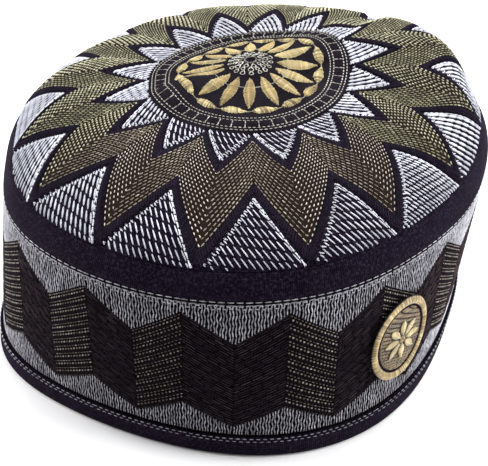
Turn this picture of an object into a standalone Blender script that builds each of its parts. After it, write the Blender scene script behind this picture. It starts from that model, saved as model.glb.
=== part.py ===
"""Kufi: a stiff embroidered cap with an upright wall and a quilted, domed crown.

The cap stands on its rim with +Z up, and its long way, from brow to nape, runs
along Y. Lengths are in metres. A turn is counted from +X towards +Y, a share is
how far a crown point lies from the centre (0) to the black strip (1), and out is
a distance along the cloth's outward normal.
"""

import math

import bmesh
import bpy
from mathutils import Vector

# Driving sizes of the whole cap
HEAD_RADIUS = 0.092
WALL_HEIGHT = 0.0678
STRIP_HEIGHT = 0.0085
STRIP_SET_IN = 0.0040
CLOTH = 0.0026
GAP = 0.0003

# Shape of the seam between wall and strip: an oval, a little squarish
SEAM_OVAL = 0.0635
SEAM_SQUARE = 0.0149
SQUARE_TURN = math.radians(50)

# Local changes of an outline, as shares of the head's radius
CHANGE_COLUMNS = ("turn", "spread", "share")
SEAM_CHANGES = (
    (math.radians(226), math.radians(15.8), -0.0400),
    (math.radians(4), math.radians(17.5), 0.0224),
)
RIM_CHANGES = (
    (math.radians(241), math.radians(16.5), 0.0351),
)

# Shape of the rim on the floor: a stronger oval, pressed out of true
RIM_OVAL = 0.0855
RIM_OVAL_TURN = math.radians(8.9)
RIM_EGG = 0.0316
RIM_EGG_TURN = math.radians(112.1)
RIM_SQUARE = 0.0307

# Dome of the crown above the strip: a flat slope, rounded shoulders, a peaked centre
DOME_SLOPE = 0.0041
DOME_SHOULDER = 0.0143
SHOULDER_POWER = 5
PEAK_RISE = 0.0058
PEAK_SPREAD = 0.2

# Swellings of the padded crown
SWELLING_COLUMNS = ("turn", "share", "rise", "turn_spread", "share_spread")
SWELLINGS = (
    (math.radians(65.2), 0.62, 0.0073, math.radians(36), 0.34),
    (math.radians(49.3), 0.86, 0.0067, math.radians(26), 0.13),
    (math.radians(206.6), 0.86, 0.0028, math.radians(34), 0.20),
    (math.radians(-3.1), 0.86, 0.0021, math.radians(26), 0.15),
    (math.radians(245.7), 0.30, 0.0045, math.radians(12.9), 0.12),
    (math.radians(155.3), 0.30, -0.0025, math.radians(40), 0.16),
    (math.radians(60.9), 0.31, 0.0027, math.radians(24), 0.14),
)
EDGE_HOLD = 0.07

# One fold across the far side of the crown, from its inner end to the strip
FOLD_START = (0.0160, 0.0380)
FOLD_END = (0.0125, 0.0900)
FOLD_DEPTH = 0.0030
FOLD_WIDTH = 0.0045

# Star of the crown: two zigzag lines with the padded star between them
STAR_POINTS = 16
STAR_TURN = math.radians(137)
STAR_PULL = 0.0486
STAR_PULL_TURN = math.radians(-9.9)
INNER_APEX = 0.598
OUTER_APEX = 0.751
MEDALLION_SHARE = 0.429
STAR_TIP = 0.97
OUTLINE_HALF = 0.013
STAR_RISE = 0.0011
FIELD_RISE = 0.0006
CROWN_STEPS = 6

# Medallion: a thin round panel on the middle of the crown
MEDALLION_CLOTH = 0.0009
MEDALLION_EDGE = 0.422
MEDALLION_STEPS = 6
MIDDLE_SHARES = (0.1, 0.2, 0.3, 0.36, 0.414)
PETAL_RISE = 0.0006
RING_RISE = 0.0004

# Zigzag of the wall, as shares of the wall's height
ZIGZAG_COUNT = 17
ZIGZAG_TURN = math.radians(247.9)
ZIGZAG_PULL = 0.0236
ZIGZAG_PEAK = (0.319, 0.922)
ZIGZAG_VALLEY = (0.186, 0.744)
ZIGZAG_RISE = 0.0008
ZIGZAG_EDGE = 0.0007
WALL_STEPS = 6

# Binding folded round the lower edge of the wall
HEM_HEIGHT = 0.0090
HEM_INSIDE_HEIGHT = 0.0080
HEM_CLOTH = 0.0012
HEM_ROUND = 0.4

# Black strip between wall and crown
STRIP_PUFF = 0.0008

# Oval badge on the wall
BADGE_TURN = math.radians(337)
BADGE_HEIGHT = 0.0370
BADGE_WIDTH = 0.0270
BADGE_TALL = 0.0340
BADGE_CLOTH = 0.0010
BADGE_BORDER_RISE = 0.0008
BADGE_STEPS = 28

FULL_TURN = 2 * math.pi


def clear_scene() -> None:
    """Remove what a new file already holds."""
    for item in list(bpy.data.objects):
        bpy.data.objects.remove(item, do_unlink=True)


def make_material(name: str, colour: tuple, roughness: float) -> bpy.types.Material:
    """Make a plain cloth finish."""
    material = bpy.data.materials.new(name)
    material.use_nodes = True
    shader = material.node_tree.nodes["Principled BSDF"]
    shader.inputs["Base Color"].default_value = (*colour, 1.0)
    shader.inputs["Roughness"].default_value = roughness
    shader.inputs["Metallic"].default_value = 0.0
    return material


def turn_between(first: float, second: float) -> float:
    """Give the smaller angle between two turns."""
    return abs((first - second + math.pi) % FULL_TURN - math.pi)


def local_change(turn: float, changes: tuple) -> float:
    """Add up an outline's local changes at a turn."""
    total = 0.0
    for row in changes:
        place = dict(zip(CHANGE_COLUMNS, row))
        total += place["share"] * math.exp(-((turn_between(turn, place["turn"]) / place["spread"]) ** 2))
    return total


def seam_radius(turn: float) -> float:
    """Give the radius of the seam at a turn."""
    oval = -SEAM_OVAL * math.cos(2 * turn)
    square = SEAM_SQUARE * math.cos(4 * (turn - SQUARE_TURN))
    return HEAD_RADIUS * (1 + oval + square + local_change(turn, SEAM_CHANGES))


def rim_radius(turn: float) -> float:
    """Give the radius of the rim on the floor, over the binding."""
    oval = -RIM_OVAL * math.cos(2 * (turn - RIM_OVAL_TURN))
    egg = RIM_EGG * math.cos(3 * (turn - RIM_EGG_TURN))
    square = RIM_SQUARE * math.cos(4 * (turn - SQUARE_TURN))
    return HEAD_RADIUS * (1 + oval + egg + square + local_change(turn, RIM_CHANGES))


def pulled(even_turn: float, pull: float, pull_turn: float) -> float:
    """Turn even steps into steps that lie even along the oval."""
    return even_turn + pull * math.sin(2 * (even_turn - pull_turn))


def star_turn(step: float) -> float:
    """Give the turn of a star point; half steps are the notches between points."""
    return pulled(STAR_TURN + FULL_TURN * step / STAR_POINTS, STAR_PULL, STAR_PULL_TURN)


def zigzag_turn(step: float) -> float:
    """Give the turn of a peak of the wall's zigzag; half steps are its valleys."""
    return pulled(ZIGZAG_TURN + FULL_TURN * step / ZIGZAG_COUNT, ZIGZAG_PULL, 0.0)


def wall_point(turn: float, height: float, out: float) -> Vector:
    """Give a point of the wall, out from the cloth's outer face."""
    binding = GAP + HEM_CLOTH
    share = height / WALL_HEIGHT
    radius = share * seam_radius(turn) + (1 - share) * (rim_radius(turn) - binding) + out
    return Vector((radius * math.cos(turn), radius * math.sin(turn), height))


def swelling(turn: float, share: float) -> float:
    """Give the rise of the padded swellings, held down at the crown's edge."""
    rise = 0.0
    for row in SWELLINGS:
        place = dict(zip(SWELLING_COLUMNS, row))
        around = turn_between(turn, place["turn"]) / place["turn_spread"]
        along = (share - place["share"]) / place["share_spread"]
        rise += place["rise"] * math.exp(-(around**2) - along**2)
    return rise * math.tanh((1 - share) / EDGE_HOLD)


def fold(point_x: float, point_y: float) -> float:
    """Give the depth of the fold at a place in plan."""
    start = Vector(FOLD_START)
    run = Vector(FOLD_END) - start
    place = Vector((point_x, point_y)) - start
    along = min(max(place.dot(run) / run.length_squared, 0.0), 1.0)
    away = (place - run * along).length / FOLD_WIDTH
    return FOLD_DEPTH * math.sin(math.pi * along) * math.exp(-(away**2))


def crown_surface(turn: float, share: float) -> Vector:
    """Give a point of the crown's base cloth."""
    radius = (seam_radius(turn) - STRIP_SET_IN) * share
    point_x = radius * math.cos(turn)
    point_y = radius * math.sin(turn)
    rise = DOME_SLOPE * (1 - share**2) + DOME_SHOULDER * (1 - share**SHOULDER_POWER)
    rise += PEAK_RISE * math.exp(-((share / PEAK_SPREAD) ** 1.5))
    rise += swelling(turn, share) - fold(point_x, point_y)
    return Vector((point_x, point_y, WALL_HEIGHT + STRIP_HEIGHT + rise))


def crown_normal(turn: float, share: float) -> Vector:
    """Give the outward normal of the crown's base cloth."""
    step = 0.01
    share = max(share, 2 * step)
    along = crown_surface(turn, min(share + step, 1.0)) - crown_surface(turn, share - step)
    around = crown_surface(turn + step, share) - crown_surface(turn - step, share)
    return along.cross(around).normalized()


def crown_point(turn: float, share: float, out: float) -> Vector:
    """Give a point out from the crown's base cloth."""
    return crown_surface(turn, share) + crown_normal(turn, share) * out


def grow_ring(mesh: bmesh.types.BMesh, edges: list, ring: list) -> tuple:
    """Extrude a loop of edges and set its new points on a ring."""
    column = mesh.verts.layers.int["column"]
    grown = bmesh.ops.extrude_edge_only(mesh, edges=edges)["geom"]
    points = {item for item in grown if isinstance(item, bmesh.types.BMVert)}
    for point in points:
        point.co = ring[point[column]]
    loop = [edge for point in points for edge in point.link_edges if set(edge.verts) <= points]
    return list(dict.fromkeys(loop)), list(points)


def start_ring(mesh: bmesh.types.BMesh, ring: list) -> list:
    """Draw the first loop of edges."""
    column = mesh.verts.layers.int.new("column")
    points = [mesh.verts.new(place) for place in ring]
    for number, point in enumerate(points):
        point[column] = number
    return [mesh.edges.new((points[number - 1], points[number])) for number in range(len(points))]


def add_object(name: str, mesh: bmesh.types.BMesh, material: bpy.types.Material) -> bpy.types.Object:
    """Turn a closed mesh into a smooth-shaded object."""
    bmesh.ops.recalc_face_normals(mesh, faces=mesh.faces)
    bmesh.ops.triangulate(mesh, faces=mesh.faces, quad_method="SHORT_EDGE")
    data = bpy.data.meshes.new(name)
    mesh.to_mesh(data)
    mesh.free()
    data.materials.append(material)
    data.shade_smooth()
    data.set_sharp_from_angle(angle=math.radians(40))
    piece = bpy.data.objects.new(name, data)
    bpy.context.scene.collection.objects.link(piece)
    return piece


def ring_piece(name: str, rings: list, material: bpy.types.Material) -> bpy.types.Object:
    """Build a hoop of cloth from rings that go once round its section."""
    mesh = bmesh.new()
    first = start_ring(mesh, rings[0])
    edges = first
    for ring in rings[1:]:
        edges, _ = grow_ring(mesh, edges, ring)
    bmesh.ops.bridge_loops(mesh, edges=first + edges)
    return add_object(name, mesh, material)


def shell_piece(name: str, rings: list, top: Vector, under: Vector, material: bpy.types.Material) -> bpy.types.Object:
    """Build a closed shell from rings that run from one middle point to the other."""
    mesh = bmesh.new()
    first = start_ring(mesh, rings[0])
    edges = first
    for ring in rings[1:]:
        edges, _ = grow_ring(mesh, edges, ring)
    for loop, middle in ((first, top), (edges, under)):
        _, points = grow_ring(mesh, loop, [middle] * len(rings[0]))
        bmesh.ops.pointmerge(mesh, verts=points, merge_co=middle)
    return add_object(name, mesh, material)


def notch_share(step: float) -> float:
    """Give 0 at a star point's line and 1 halfway between two points."""
    return 1 - abs(2 * (step % 1.0) - 1)


def star_lines(step: float) -> tuple:
    """Give the shares of the star's inner and outer zigzag lines."""
    notch = notch_share(step)
    inner = INNER_APEX + (MEDALLION_SHARE - INNER_APEX) * notch
    outer = STAR_TIP + (OUTER_APEX - STAR_TIP) * notch
    return inner, outer


def crown_rings() -> list:
    """List the crown's rings from its middle outwards, and back on its underside."""
    count = STAR_POINTS * CROWN_STEPS
    steps = [number / CROWN_STEPS for number in range(count)]
    half = OUTLINE_HALF
    rings = []
    for share in MIDDLE_SHARES:
        rings.append([crown_point(star_turn(step), share, 0.0) for step in steps])
    rows = (
        (0, -1, FIELD_RISE),
        (0, 0, 0.0),
        (0, 1, STAR_RISE),
        (0.5, 0, STAR_RISE),
        (1, -1, STAR_RISE),
        (1, 0, 0.0),
        (1, 1, FIELD_RISE),
    )
    for way, side, rise in rows:
        ring = []
        for step in steps:
            inner, outer = star_lines(step)
            share = inner + (outer - inner) * way + side * half
            out = rise if share > MEDALLION_SHARE else 0.0
            ring.append(crown_point(star_turn(step), share, out))
        rings.append(ring)
    for share, out in ((1.0, 0.0), (1.0, -CLOTH), (0.85, -CLOTH), (0.6, -CLOTH), (0.3, -CLOTH)):
        rings.append([crown_point(star_turn(step), share, out) for step in steps])
    return rings


def build_crown(material: bpy.types.Material) -> bpy.types.Object:
    """Build the domed panel with the padded star."""
    top = crown_point(0.0, 0.0, 0.0)
    under = crown_point(0.0, 0.0, -CLOTH)
    return shell_piece("crown", crown_rings(), top, under, material)


def build_medallion(material: bpy.types.Material) -> bpy.types.Object:
    """Build the thin round panel with sixteen low petals and a ring."""
    low = GAP
    high = GAP + MEDALLION_CLOTH
    steps = [number / MEDALLION_STEPS for number in range(STAR_POINTS * MEDALLION_STEPS)]
    rows = (
        (0.115, high, 0.0),
        (0.19, high, PETAL_RISE),
        (0.265, high, PETAL_RISE),
        (0.315, high, 0.0),
        (0.35, high + RING_RISE, 0.0),
        (0.395, high + RING_RISE, 0.0),
        (MEDALLION_EDGE, high, 0.0),
        (MEDALLION_EDGE, low, 0.0),
        *((share, low, 0.0) for share in reversed(MIDDLE_SHARES)),
    )
    rings = []
    for share, out, petal in rows:
        rings.append([crown_point(star_turn(step), share, out + petal * notch_share(step)) for step in steps])
    return shell_piece("medallion", rings, crown_point(0.0, 0.0, high), crown_point(0.0, 0.0, low), material)


def build_crown_edge(material: bpy.types.Material) -> bpy.types.Object:
    """Build the black strip, whose top lies along the crown's edge."""
    turns = [star_turn(number / CROWN_STEPS) for number in range(STAR_POINTS * CROWN_STEPS)]
    foot = WALL_HEIGHT + GAP
    sections = []
    for turn in turns:
        foot_outside = wall_point(turn, foot, 0.0)
        foot_inside = wall_point(turn, foot, -CLOTH)
        away = (crown_surface(turn, 1.0) - crown_surface(turn, 0.99)).normalized() * 1.4 * GAP
        top_outside = crown_point(turn, 1.0, 0.0) + away
        top_inside = crown_point(turn, 1.0, -CLOTH) + away
        outward = Vector((math.cos(turn), math.sin(turn), 0.0)) * STRIP_PUFF
        section = [foot_outside]
        section.append(foot_outside.lerp(top_outside, 0.35) + outward)
        section.append(foot_outside.lerp(top_outside, 0.75) + outward)
        section += [top_outside, top_inside, top_inside.lerp(foot_inside, 0.5), foot_inside]
        sections.append(section)
    rings = [list(ring) for ring in zip(*sections)]
    return ring_piece("crown_edge", rings, material)


def build_band(material: bpy.types.Material) -> bpy.types.Object:
    """Build the side wall with its raised zigzag."""
    steps = [number / WALL_STEPS for number in range(ZIGZAG_COUNT * WALL_STEPS)]
    foot = HEM_CLOTH + GAP
    lines = []
    for peak, valley in zip(ZIGZAG_PEAK, ZIGZAG_VALLEY):
        lines.append([(peak + (valley - peak) * notch_share(step)) * WALL_HEIGHT for step in steps])
    low, high = lines
    rings = [[wall_point(zigzag_turn(step), foot, 0.0) for step in steps]]
    for heights, shift, rise in (
        (low, -ZIGZAG_EDGE, 0.0),
        (low, ZIGZAG_EDGE, ZIGZAG_RISE),
        (high, -ZIGZAG_EDGE, ZIGZAG_RISE),
        (high, ZIGZAG_EDGE, 0.0),
    ):
        pairs = zip(steps, heights)
        rings.append([wall_point(zigzag_turn(step), height + shift, rise) for step, height in pairs])
    for height, out in ((WALL_HEIGHT, 0.0), (WALL_HEIGHT, -CLOTH), (foot, -CLOTH)):
        rings.append([wall_point(zigzag_turn(step), height, out) for step in steps])
    return ring_piece("band", rings, material)


def build_hem(material: bpy.types.Material) -> bpy.types.Object:
    """Build the binding, a channel that holds the wall's lower edge."""
    turns = [zigzag_turn(number / WALL_STEPS) for number in range(ZIGZAG_COUNT * WALL_STEPS)]
    outer_face = GAP + HEM_CLOTH
    inner_face = -CLOTH - GAP - HEM_CLOTH
    section = (
        (HEM_HEIGHT, GAP),
        (HEM_HEIGHT, outer_face),
        (HEM_CLOTH, outer_face),
        (0.0, outer_face - HEM_CLOTH * HEM_ROUND),
        (0.0, inner_face + HEM_CLOTH * HEM_ROUND),
        (HEM_CLOTH, inner_face),
        (HEM_INSIDE_HEIGHT, inner_face),
        (HEM_INSIDE_HEIGHT, -CLOTH - GAP),
        (HEM_CLOTH, -CLOTH - GAP),
        (HEM_CLOTH, GAP),
    )
    rings = [[wall_point(turn, height, out) for turn in turns] for height, out in section]
    return ring_piece("hem_binding", rings, material)


def badge_point(angle: float, size: float, out: float) -> Vector:
    """Give a point of the badge, bent round the wall; size 1 is its outline."""
    across = 0.5 * BADGE_WIDTH * size * math.cos(angle)
    up = 0.5 * BADGE_TALL * size * math.sin(angle)
    turn = BADGE_TURN + across / seam_radius(BADGE_TURN)
    return wall_point(turn, BADGE_HEIGHT + up, out)


def build_badge(material: bpy.types.Material) -> bpy.types.Object:
    """Build the oval patch with a raised border and a domed middle."""
    low = ZIGZAG_RISE + GAP
    high = low + BADGE_CLOTH
    angles = [FULL_TURN * number / BADGE_STEPS for number in range(BADGE_STEPS)]
    rows = (
        (0.35, high + 0.5 * BADGE_BORDER_RISE),
        (0.68, high),
        (0.80, high + BADGE_BORDER_RISE),
        (0.93, high + BADGE_BORDER_RISE),
        (1.0, high - 0.5 * BADGE_CLOTH),
        (0.98, low),
        (0.5, low),
    )
    rings = [[badge_point(angle, size, out) for angle in angles] for size, out in rows]
    top = badge_point(0.0, 0.0, high + 0.5 * BADGE_BORDER_RISE)
    return shell_piece("badge", rings, top, badge_point(0.0, 0.0, low), material)


def centre_on_floor(pieces: list) -> None:
    """Move the whole cap so that its box stands centred over the origin."""
    points = [point.co for piece in pieces for point in piece.data.vertices]
    low = Vector([min(point[axis] for point in points) for axis in range(3)])
    high = Vector([max(point[axis] for point in points) for axis in range(3)])
    middle = (low + high) / 2
    for piece in pieces:
        for point in piece.data.vertices:
            point.co -= Vector((middle.x, middle.y, low.z))


def main() -> None:
    """Build the cap's six pieces."""
    clear_scene()
    black_cloth = make_material("black_cloth", (0.012, 0.010, 0.016), 0.85)
    star_cloth = make_material("star_cloth", (0.16, 0.14, 0.09), 0.7)
    wall_cloth = make_material("wall_cloth", (0.10, 0.09, 0.09), 0.8)
    gold_thread = make_material("gold_thread", (0.55, 0.38, 0.15), 0.45)
    pieces = [
        build_band(wall_cloth),
        build_hem(black_cloth),
        build_crown_edge(black_cloth),
        build_crown(star_cloth),
        build_medallion(gold_thread),
        build_badge(gold_thread),
    ]
    centre_on_floor(pieces)


main()
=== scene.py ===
"""Looks of an embroidered kufi: a stiff round cap with a quilted, domed crown.

The cap stands on its rim with +Z up. Lengths are in metres and angles in radians.
A turn is counted from +X towards +Y. A step counts star points on the crown, or
zigzag peaks on the wall. A share is how far a crown point lies from the centre (0)
to the black strip (1), and out is a distance along the cloth's outward normal.
"""

import logging
from dataclasses import dataclass, field
from enum import Enum
from math import cos, floor, pi, radians, sin, sqrt
from typing import Callable

import bpy
import numpy as np
from bpy.types import Material, Node, NodeSocket, Object
from mathutils import Matrix, Vector

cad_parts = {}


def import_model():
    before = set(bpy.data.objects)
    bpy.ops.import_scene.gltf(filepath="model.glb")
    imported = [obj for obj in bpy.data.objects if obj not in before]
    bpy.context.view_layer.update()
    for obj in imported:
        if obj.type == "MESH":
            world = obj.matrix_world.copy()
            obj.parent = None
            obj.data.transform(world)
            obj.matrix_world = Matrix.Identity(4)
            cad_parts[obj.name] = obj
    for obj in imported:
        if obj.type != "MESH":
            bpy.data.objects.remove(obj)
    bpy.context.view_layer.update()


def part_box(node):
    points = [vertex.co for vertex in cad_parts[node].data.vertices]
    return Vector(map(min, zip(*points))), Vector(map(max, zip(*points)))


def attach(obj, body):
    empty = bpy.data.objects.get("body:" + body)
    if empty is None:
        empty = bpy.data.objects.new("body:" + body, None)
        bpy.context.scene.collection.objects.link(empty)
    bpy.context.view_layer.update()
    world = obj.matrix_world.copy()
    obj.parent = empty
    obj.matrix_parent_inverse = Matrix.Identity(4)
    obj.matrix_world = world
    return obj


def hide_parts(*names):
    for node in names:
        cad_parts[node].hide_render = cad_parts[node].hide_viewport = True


LOG = logging.getLogger("kufi")
FULL_TURN = 2 * pi
BODY = "root"
SEED = 11
BLACK, WHITE = (0.0, 0.0, 0.0), (1.0, 1.0, 1.0)
Values = np.ndarray
Placing = Callable[[Values, Values], Values]


class Slot(Enum):
    """Material slots of the record."""

    WALL_CLOTH = "wall_cloth"
    BLACK_CLOTH = "black_cloth"
    STAR_CLOTH = "star_cloth"
    GOLD_THREAD = "gold_thread"


def eased(value: Values) -> Values:
    """Turn values into a smooth step: 0 up to 0, and 1 from 1 on."""
    held = np.clip(value, 0.0, 1.0)
    return held * held * (3 - 2 * held)


def notch_share(step: Values) -> Values:
    """Give 0 at a whole step and 1 halfway between two."""
    return 1 - np.abs(2 * np.mod(step, 1.0) - 1)


def unit(way: Values) -> Values:
    """Scale vectors to length 1."""
    return way / np.linalg.norm(way, axis=-1, keepdims=True)


def pairs(first: Values | float, second: Values | float) -> Values:
    """Join two coordinates into rows of pairs."""
    return np.stack(np.broadcast_arrays(first, second), axis=-1)


def turned_from(turn: Values, middle: float) -> Values:
    """Give how far turns lie from a middle one, half a turn at most."""
    return np.mod(turn - middle + pi, FULL_TURN) - pi


def facing(turn: Values, way: float) -> Values:
    """Give how much a turn looks one way, from 1 down to 0 at a quarter turn."""
    return np.maximum(np.cos(turn - way), 0.0)


def local_change(turn: Values, changes: tuple) -> Values:
    """Add up local changes at a turn.

    Args:
        turn: Turns round the cap.
        changes: Middle turn, spread and size of each change.

    Returns:
        The sums.
    """
    total = np.zeros(np.shape(turn))
    for middle, spread, size in changes:
        total = total + size * np.exp(-((turned_from(turn, middle) / spread) ** 2))
    return total


def spread_rows(rows: Values, ends: tuple, marks: tuple) -> Values:
    """Spread a grid's rows between lines that differ from column to column.

    Args:
        rows: Place of every point across the grid, 0 to 1.
        ends: Places of the rows that follow the lines.
        marks: Each line's coordinate in every point's column.

    Returns:
        The coordinate of every point.
    """
    found = np.zeros(np.shape(rows))
    for number in range(len(ends) - 1):
        low = marks[number]
        way = np.clip((rows - ends[number]) / (ends[number + 1] - ends[number]), 0.0, 1.0)
        place = low + (np.maximum(marks[number + 1], low) - low) * way
        found = np.where(rows >= ends[number], place, found)
    return found


def read(items: object, name: str, columns: int = 1, kind: type = float) -> Values:
    """Read one property of a mesh's items.

    Args:
        items: Vertices, loops, faces or UVs.
        name: Name of the property.
        columns: Values of each item.
        kind: Type of the values.

    Returns:
        A value or a row for each item.
    """
    values = np.zeros(len(items) * columns, dtype=kind)
    items.foreach_get(name, values)
    return values.reshape(-1, columns) if columns > 1 else values


@dataclass(frozen=True)
class CapShape:
    """Curves of the cap that every piece follows.

    A change is local, with a middle turn, a spread and a size. A swelling has a middle
    turn and share, a height, and a spread round and along the crown.
    """

    head_radius: float = 0.092
    wall_height: float = 0.0678
    strip_height: float = 0.0085
    strip_set_in: float = 0.0040
    cloth: float = 0.0026
    gap: float = 0.0003
    hem_cloth: float = 0.0012
    seam_oval: float = 0.0635
    seam_square: float = 0.0149
    square_turn: float = radians(50)
    seam_changes: tuple = ((radians(226), radians(15.8), -0.0400), (radians(4), radians(17.5), 0.0224))
    rim_oval: float = 0.0855
    rim_oval_turn: float = radians(8.9)
    rim_egg: float = 0.0316
    rim_egg_turn: float = radians(112.1)
    rim_square: float = 0.0307
    rim_changes: tuple = ((radians(241), radians(16.5), 0.0351),)
    dome_slope: float = 0.0041
    dome_shoulder: float = 0.0143
    shoulder_power: int = 5
    peak_rise: float = 0.0058
    peak_spread: float = 0.2
    swellings: tuple = (
        (radians(65.2), 0.62, 0.0073, radians(36), 0.34),
        (radians(49.3), 0.86, 0.0067, radians(26), 0.13),
        (radians(206.6), 0.86, 0.0028, radians(34), 0.20),
        (radians(-3.1), 0.86, 0.0021, radians(26), 0.15),
        (radians(245.7), 0.30, 0.0045, radians(12.9), 0.12),
        (radians(155.3), 0.30, -0.0025, radians(40), 0.16),
        (radians(60.9), 0.31, 0.0027, radians(24), 0.14),
    )
    edge_hold: float = 0.07
    fold_start: tuple = (0.0160, 0.0380)
    fold_end: tuple = (0.0125, 0.0900)
    fold_depth: float = 0.0030
    fold_width: float = 0.0045
    star_points: int = 16
    star_first: float = radians(137)
    star_pull: float = 0.0486
    star_pull_turn: float = radians(-9.9)
    inner_apex: float = 0.598
    outer_apex: float = 0.751
    medallion_share: float = 0.431
    ring_changes: tuple = ((radians(105), radians(75), -0.10),)
    star_tip: float = 1.02
    star_changes: tuple = ((radians(229), radians(20), 0.038),)
    tip_leans: tuple = ((radians(27), radians(11), radians(4.0)), (radians(338), radians(10), radians(-1.4)))
    zigzag_count: int = 17
    zigzag_first: float = radians(247.9)
    zigzag_pull: float = 0.0236
    zigzag_peak: tuple = (0.319, 0.922)
    zigzag_valley: tuple = (0.186, 0.744)
    shift: tuple = (0.0, 0.0)

    def seam_radius(self, turn: Values) -> Values:
        """Give the radius of the seam between wall and strip.

        Args:
            turn: Turns round the cap.

        Returns:
            The radii.
        """
        oval = -self.seam_oval * np.cos(2 * turn)
        square = self.seam_square * np.cos(4 * (turn - self.square_turn))
        return self.head_radius * (1 + oval + square + local_change(turn, self.seam_changes))

    def seam_centre(self) -> tuple[float, float]:
        """Give the centre of the seam's box, at the corners of the CAD's strip.

        Returns:
            Its coordinates along X and Y.
        """
        corners_a_point = 6
        turn = self.star_turn(np.arange(corners_a_point * self.star_points) / corners_a_point)
        radius = self.seam_radius(turn)
        across = radius * np.cos(turn)
        deep = radius * np.sin(turn)
        return float(across.max() + across.min()) / 2, float(deep.max() + deep.min()) / 2

    def rim_radius(self, turn: Values) -> Values:
        """Give the radius of the rim on the floor, over the binding.

        Args:
            turn: Turns round the cap.

        Returns:
            The radii.
        """
        oval = -self.rim_oval * np.cos(2 * (turn - self.rim_oval_turn))
        egg = self.rim_egg * np.cos(3 * (turn - self.rim_egg_turn))
        square = self.rim_square * np.cos(4 * (turn - self.square_turn))
        changes = local_change(turn, self.rim_changes)
        return self.head_radius * (1 + oval + egg + square + changes)

    def ring_gain(self, turn: Values) -> Values:
        """Give how much wider than even the medallion's rings lie at a turn."""
        return 1 + local_change(turn, self.ring_changes)

    def star_gain(self, turn: Values) -> Values:
        """Give how much farther out than even the star's corners lie at a turn."""
        return 1 + local_change(turn, self.star_changes)

    def star_turn(self, step: Values) -> Values:
        """Give the turn of a star step."""
        even = self.star_first + FULL_TURN * step / self.star_points
        return even + self.star_pull * np.sin(2 * (even - self.star_pull_turn))

    def leaning_turn(self, step: Values, share: Values) -> Values:
        """Give the turn of a star step where some tips lean sideways.

        Args:
            step: Steps round the cap.
            share: Shares from the centre to the strip.

        Returns:
            The turns.
        """
        turn = self.star_turn(step)
        way = eased((share - self.outer_apex) / (1 - self.outer_apex))
        return turn + way * local_change(turn, self.tip_leans)

    def zigzag_turn(self, step: Values) -> Values:
        """Give the turn of a zigzag step."""
        even = self.zigzag_first + FULL_TURN * step / self.zigzag_count
        return even + self.zigzag_pull * np.sin(2 * even)

    def placed(self, turn: Values, radius: Values, high: Values) -> Values:
        """Give points from turns, radii and heights, moved onto the CAD's centre.

        Args:
            turn: Turns round the cap.
            radius: Distances from the middle of the seam's curve.
            high: Heights above the floor.

        Returns:
            The points.
        """
        across = radius * np.cos(turn) + self.shift[0]
        deep = radius * np.sin(turn) + self.shift[1]
        return np.stack([across, deep, np.broadcast_to(high, np.shape(across))], axis=-1)

    def wall(self, turn: Values, height: Values, out: Values) -> Values:
        """Give points of the wall.

        Args:
            turn: Turns round the cap.
            height: Heights above the floor.
            out: Distances out from the cloth's face.

        Returns:
            The points.
        """
        share = height / self.wall_height
        rim = self.rim_radius(turn) - self.gap - self.hem_cloth
        return self.placed(turn, share * self.seam_radius(turn) + (1 - share) * rim + out, height)

    def swelling(self, turn: Values, share: Values) -> Values:
        """Give the rise of the padded swellings, held down at the crown's edge.

        Args:
            turn: Turns round the cap.
            share: Shares from the centre to the strip.

        Returns:
            The rises.
        """
        rise = np.zeros(np.shape(turn + share))
        for middle, middle_share, height, spread, share_spread in self.swellings:
            along = (share - middle_share) / share_spread
            rise = rise + height * np.exp(-((turned_from(turn, middle) / spread) ** 2) - along**2)
        return rise * np.tanh((1 - share) / self.edge_hold)

    def fold(self, across: Values, deep: Values) -> Values:
        """Give the depth of the fold on the far side of the crown.

        Args:
            across: Coordinates along X.
            deep: Coordinates along Y.

        Returns:
            The depths.
        """
        start = np.array(self.fold_start)
        run = np.array(self.fold_end) - start
        place = pairs(across - start[0], deep - start[1])
        along = np.clip(place @ run / (run @ run), 0.0, 1.0)
        away = np.linalg.norm(place - along[..., None] * run, axis=-1) / self.fold_width
        return self.fold_depth * np.sin(pi * along) * np.exp(-(away**2))

    def crown_base(self, turn: Values, share: Values) -> Values:
        """Give points of the crown's base cloth.

        Args:
            turn: Turns round the cap.
            share: Shares from the centre to the strip.

        Returns:
            The points.
        """
        radius = (self.seam_radius(turn) - self.strip_set_in) * share
        rise = self.dome_slope * (1 - share**2)
        rise = rise + self.dome_shoulder * (1 - share**self.shoulder_power)
        rise = rise + self.peak_rise * np.exp(-((np.abs(share) / self.peak_spread) ** 1.5))
        rise = rise + self.swelling(turn, share) - self.fold(radius * np.cos(turn), radius * np.sin(turn))
        return self.placed(turn, radius, self.wall_height + self.strip_height + rise)

    def crown(self, turn: Values, share: Values, out: Values) -> Values:
        """Give points of the crown.

        Args:
            turn: Turns round the cap.
            share: Shares from the centre to the strip.
            out: Distances out from the base cloth.

        Returns:
            The points.
        """
        step = 0.01
        held = np.maximum(share, 2 * step)
        along = self.crown_base(turn, np.minimum(held + step, 1.0)) - self.crown_base(turn, held - step)
        around = self.crown_base(turn + step, held) - self.crown_base(turn - step, held)
        return self.crown_base(turn, share) + unit(np.cross(along, around)) * np.asarray(out)[..., None]


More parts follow.
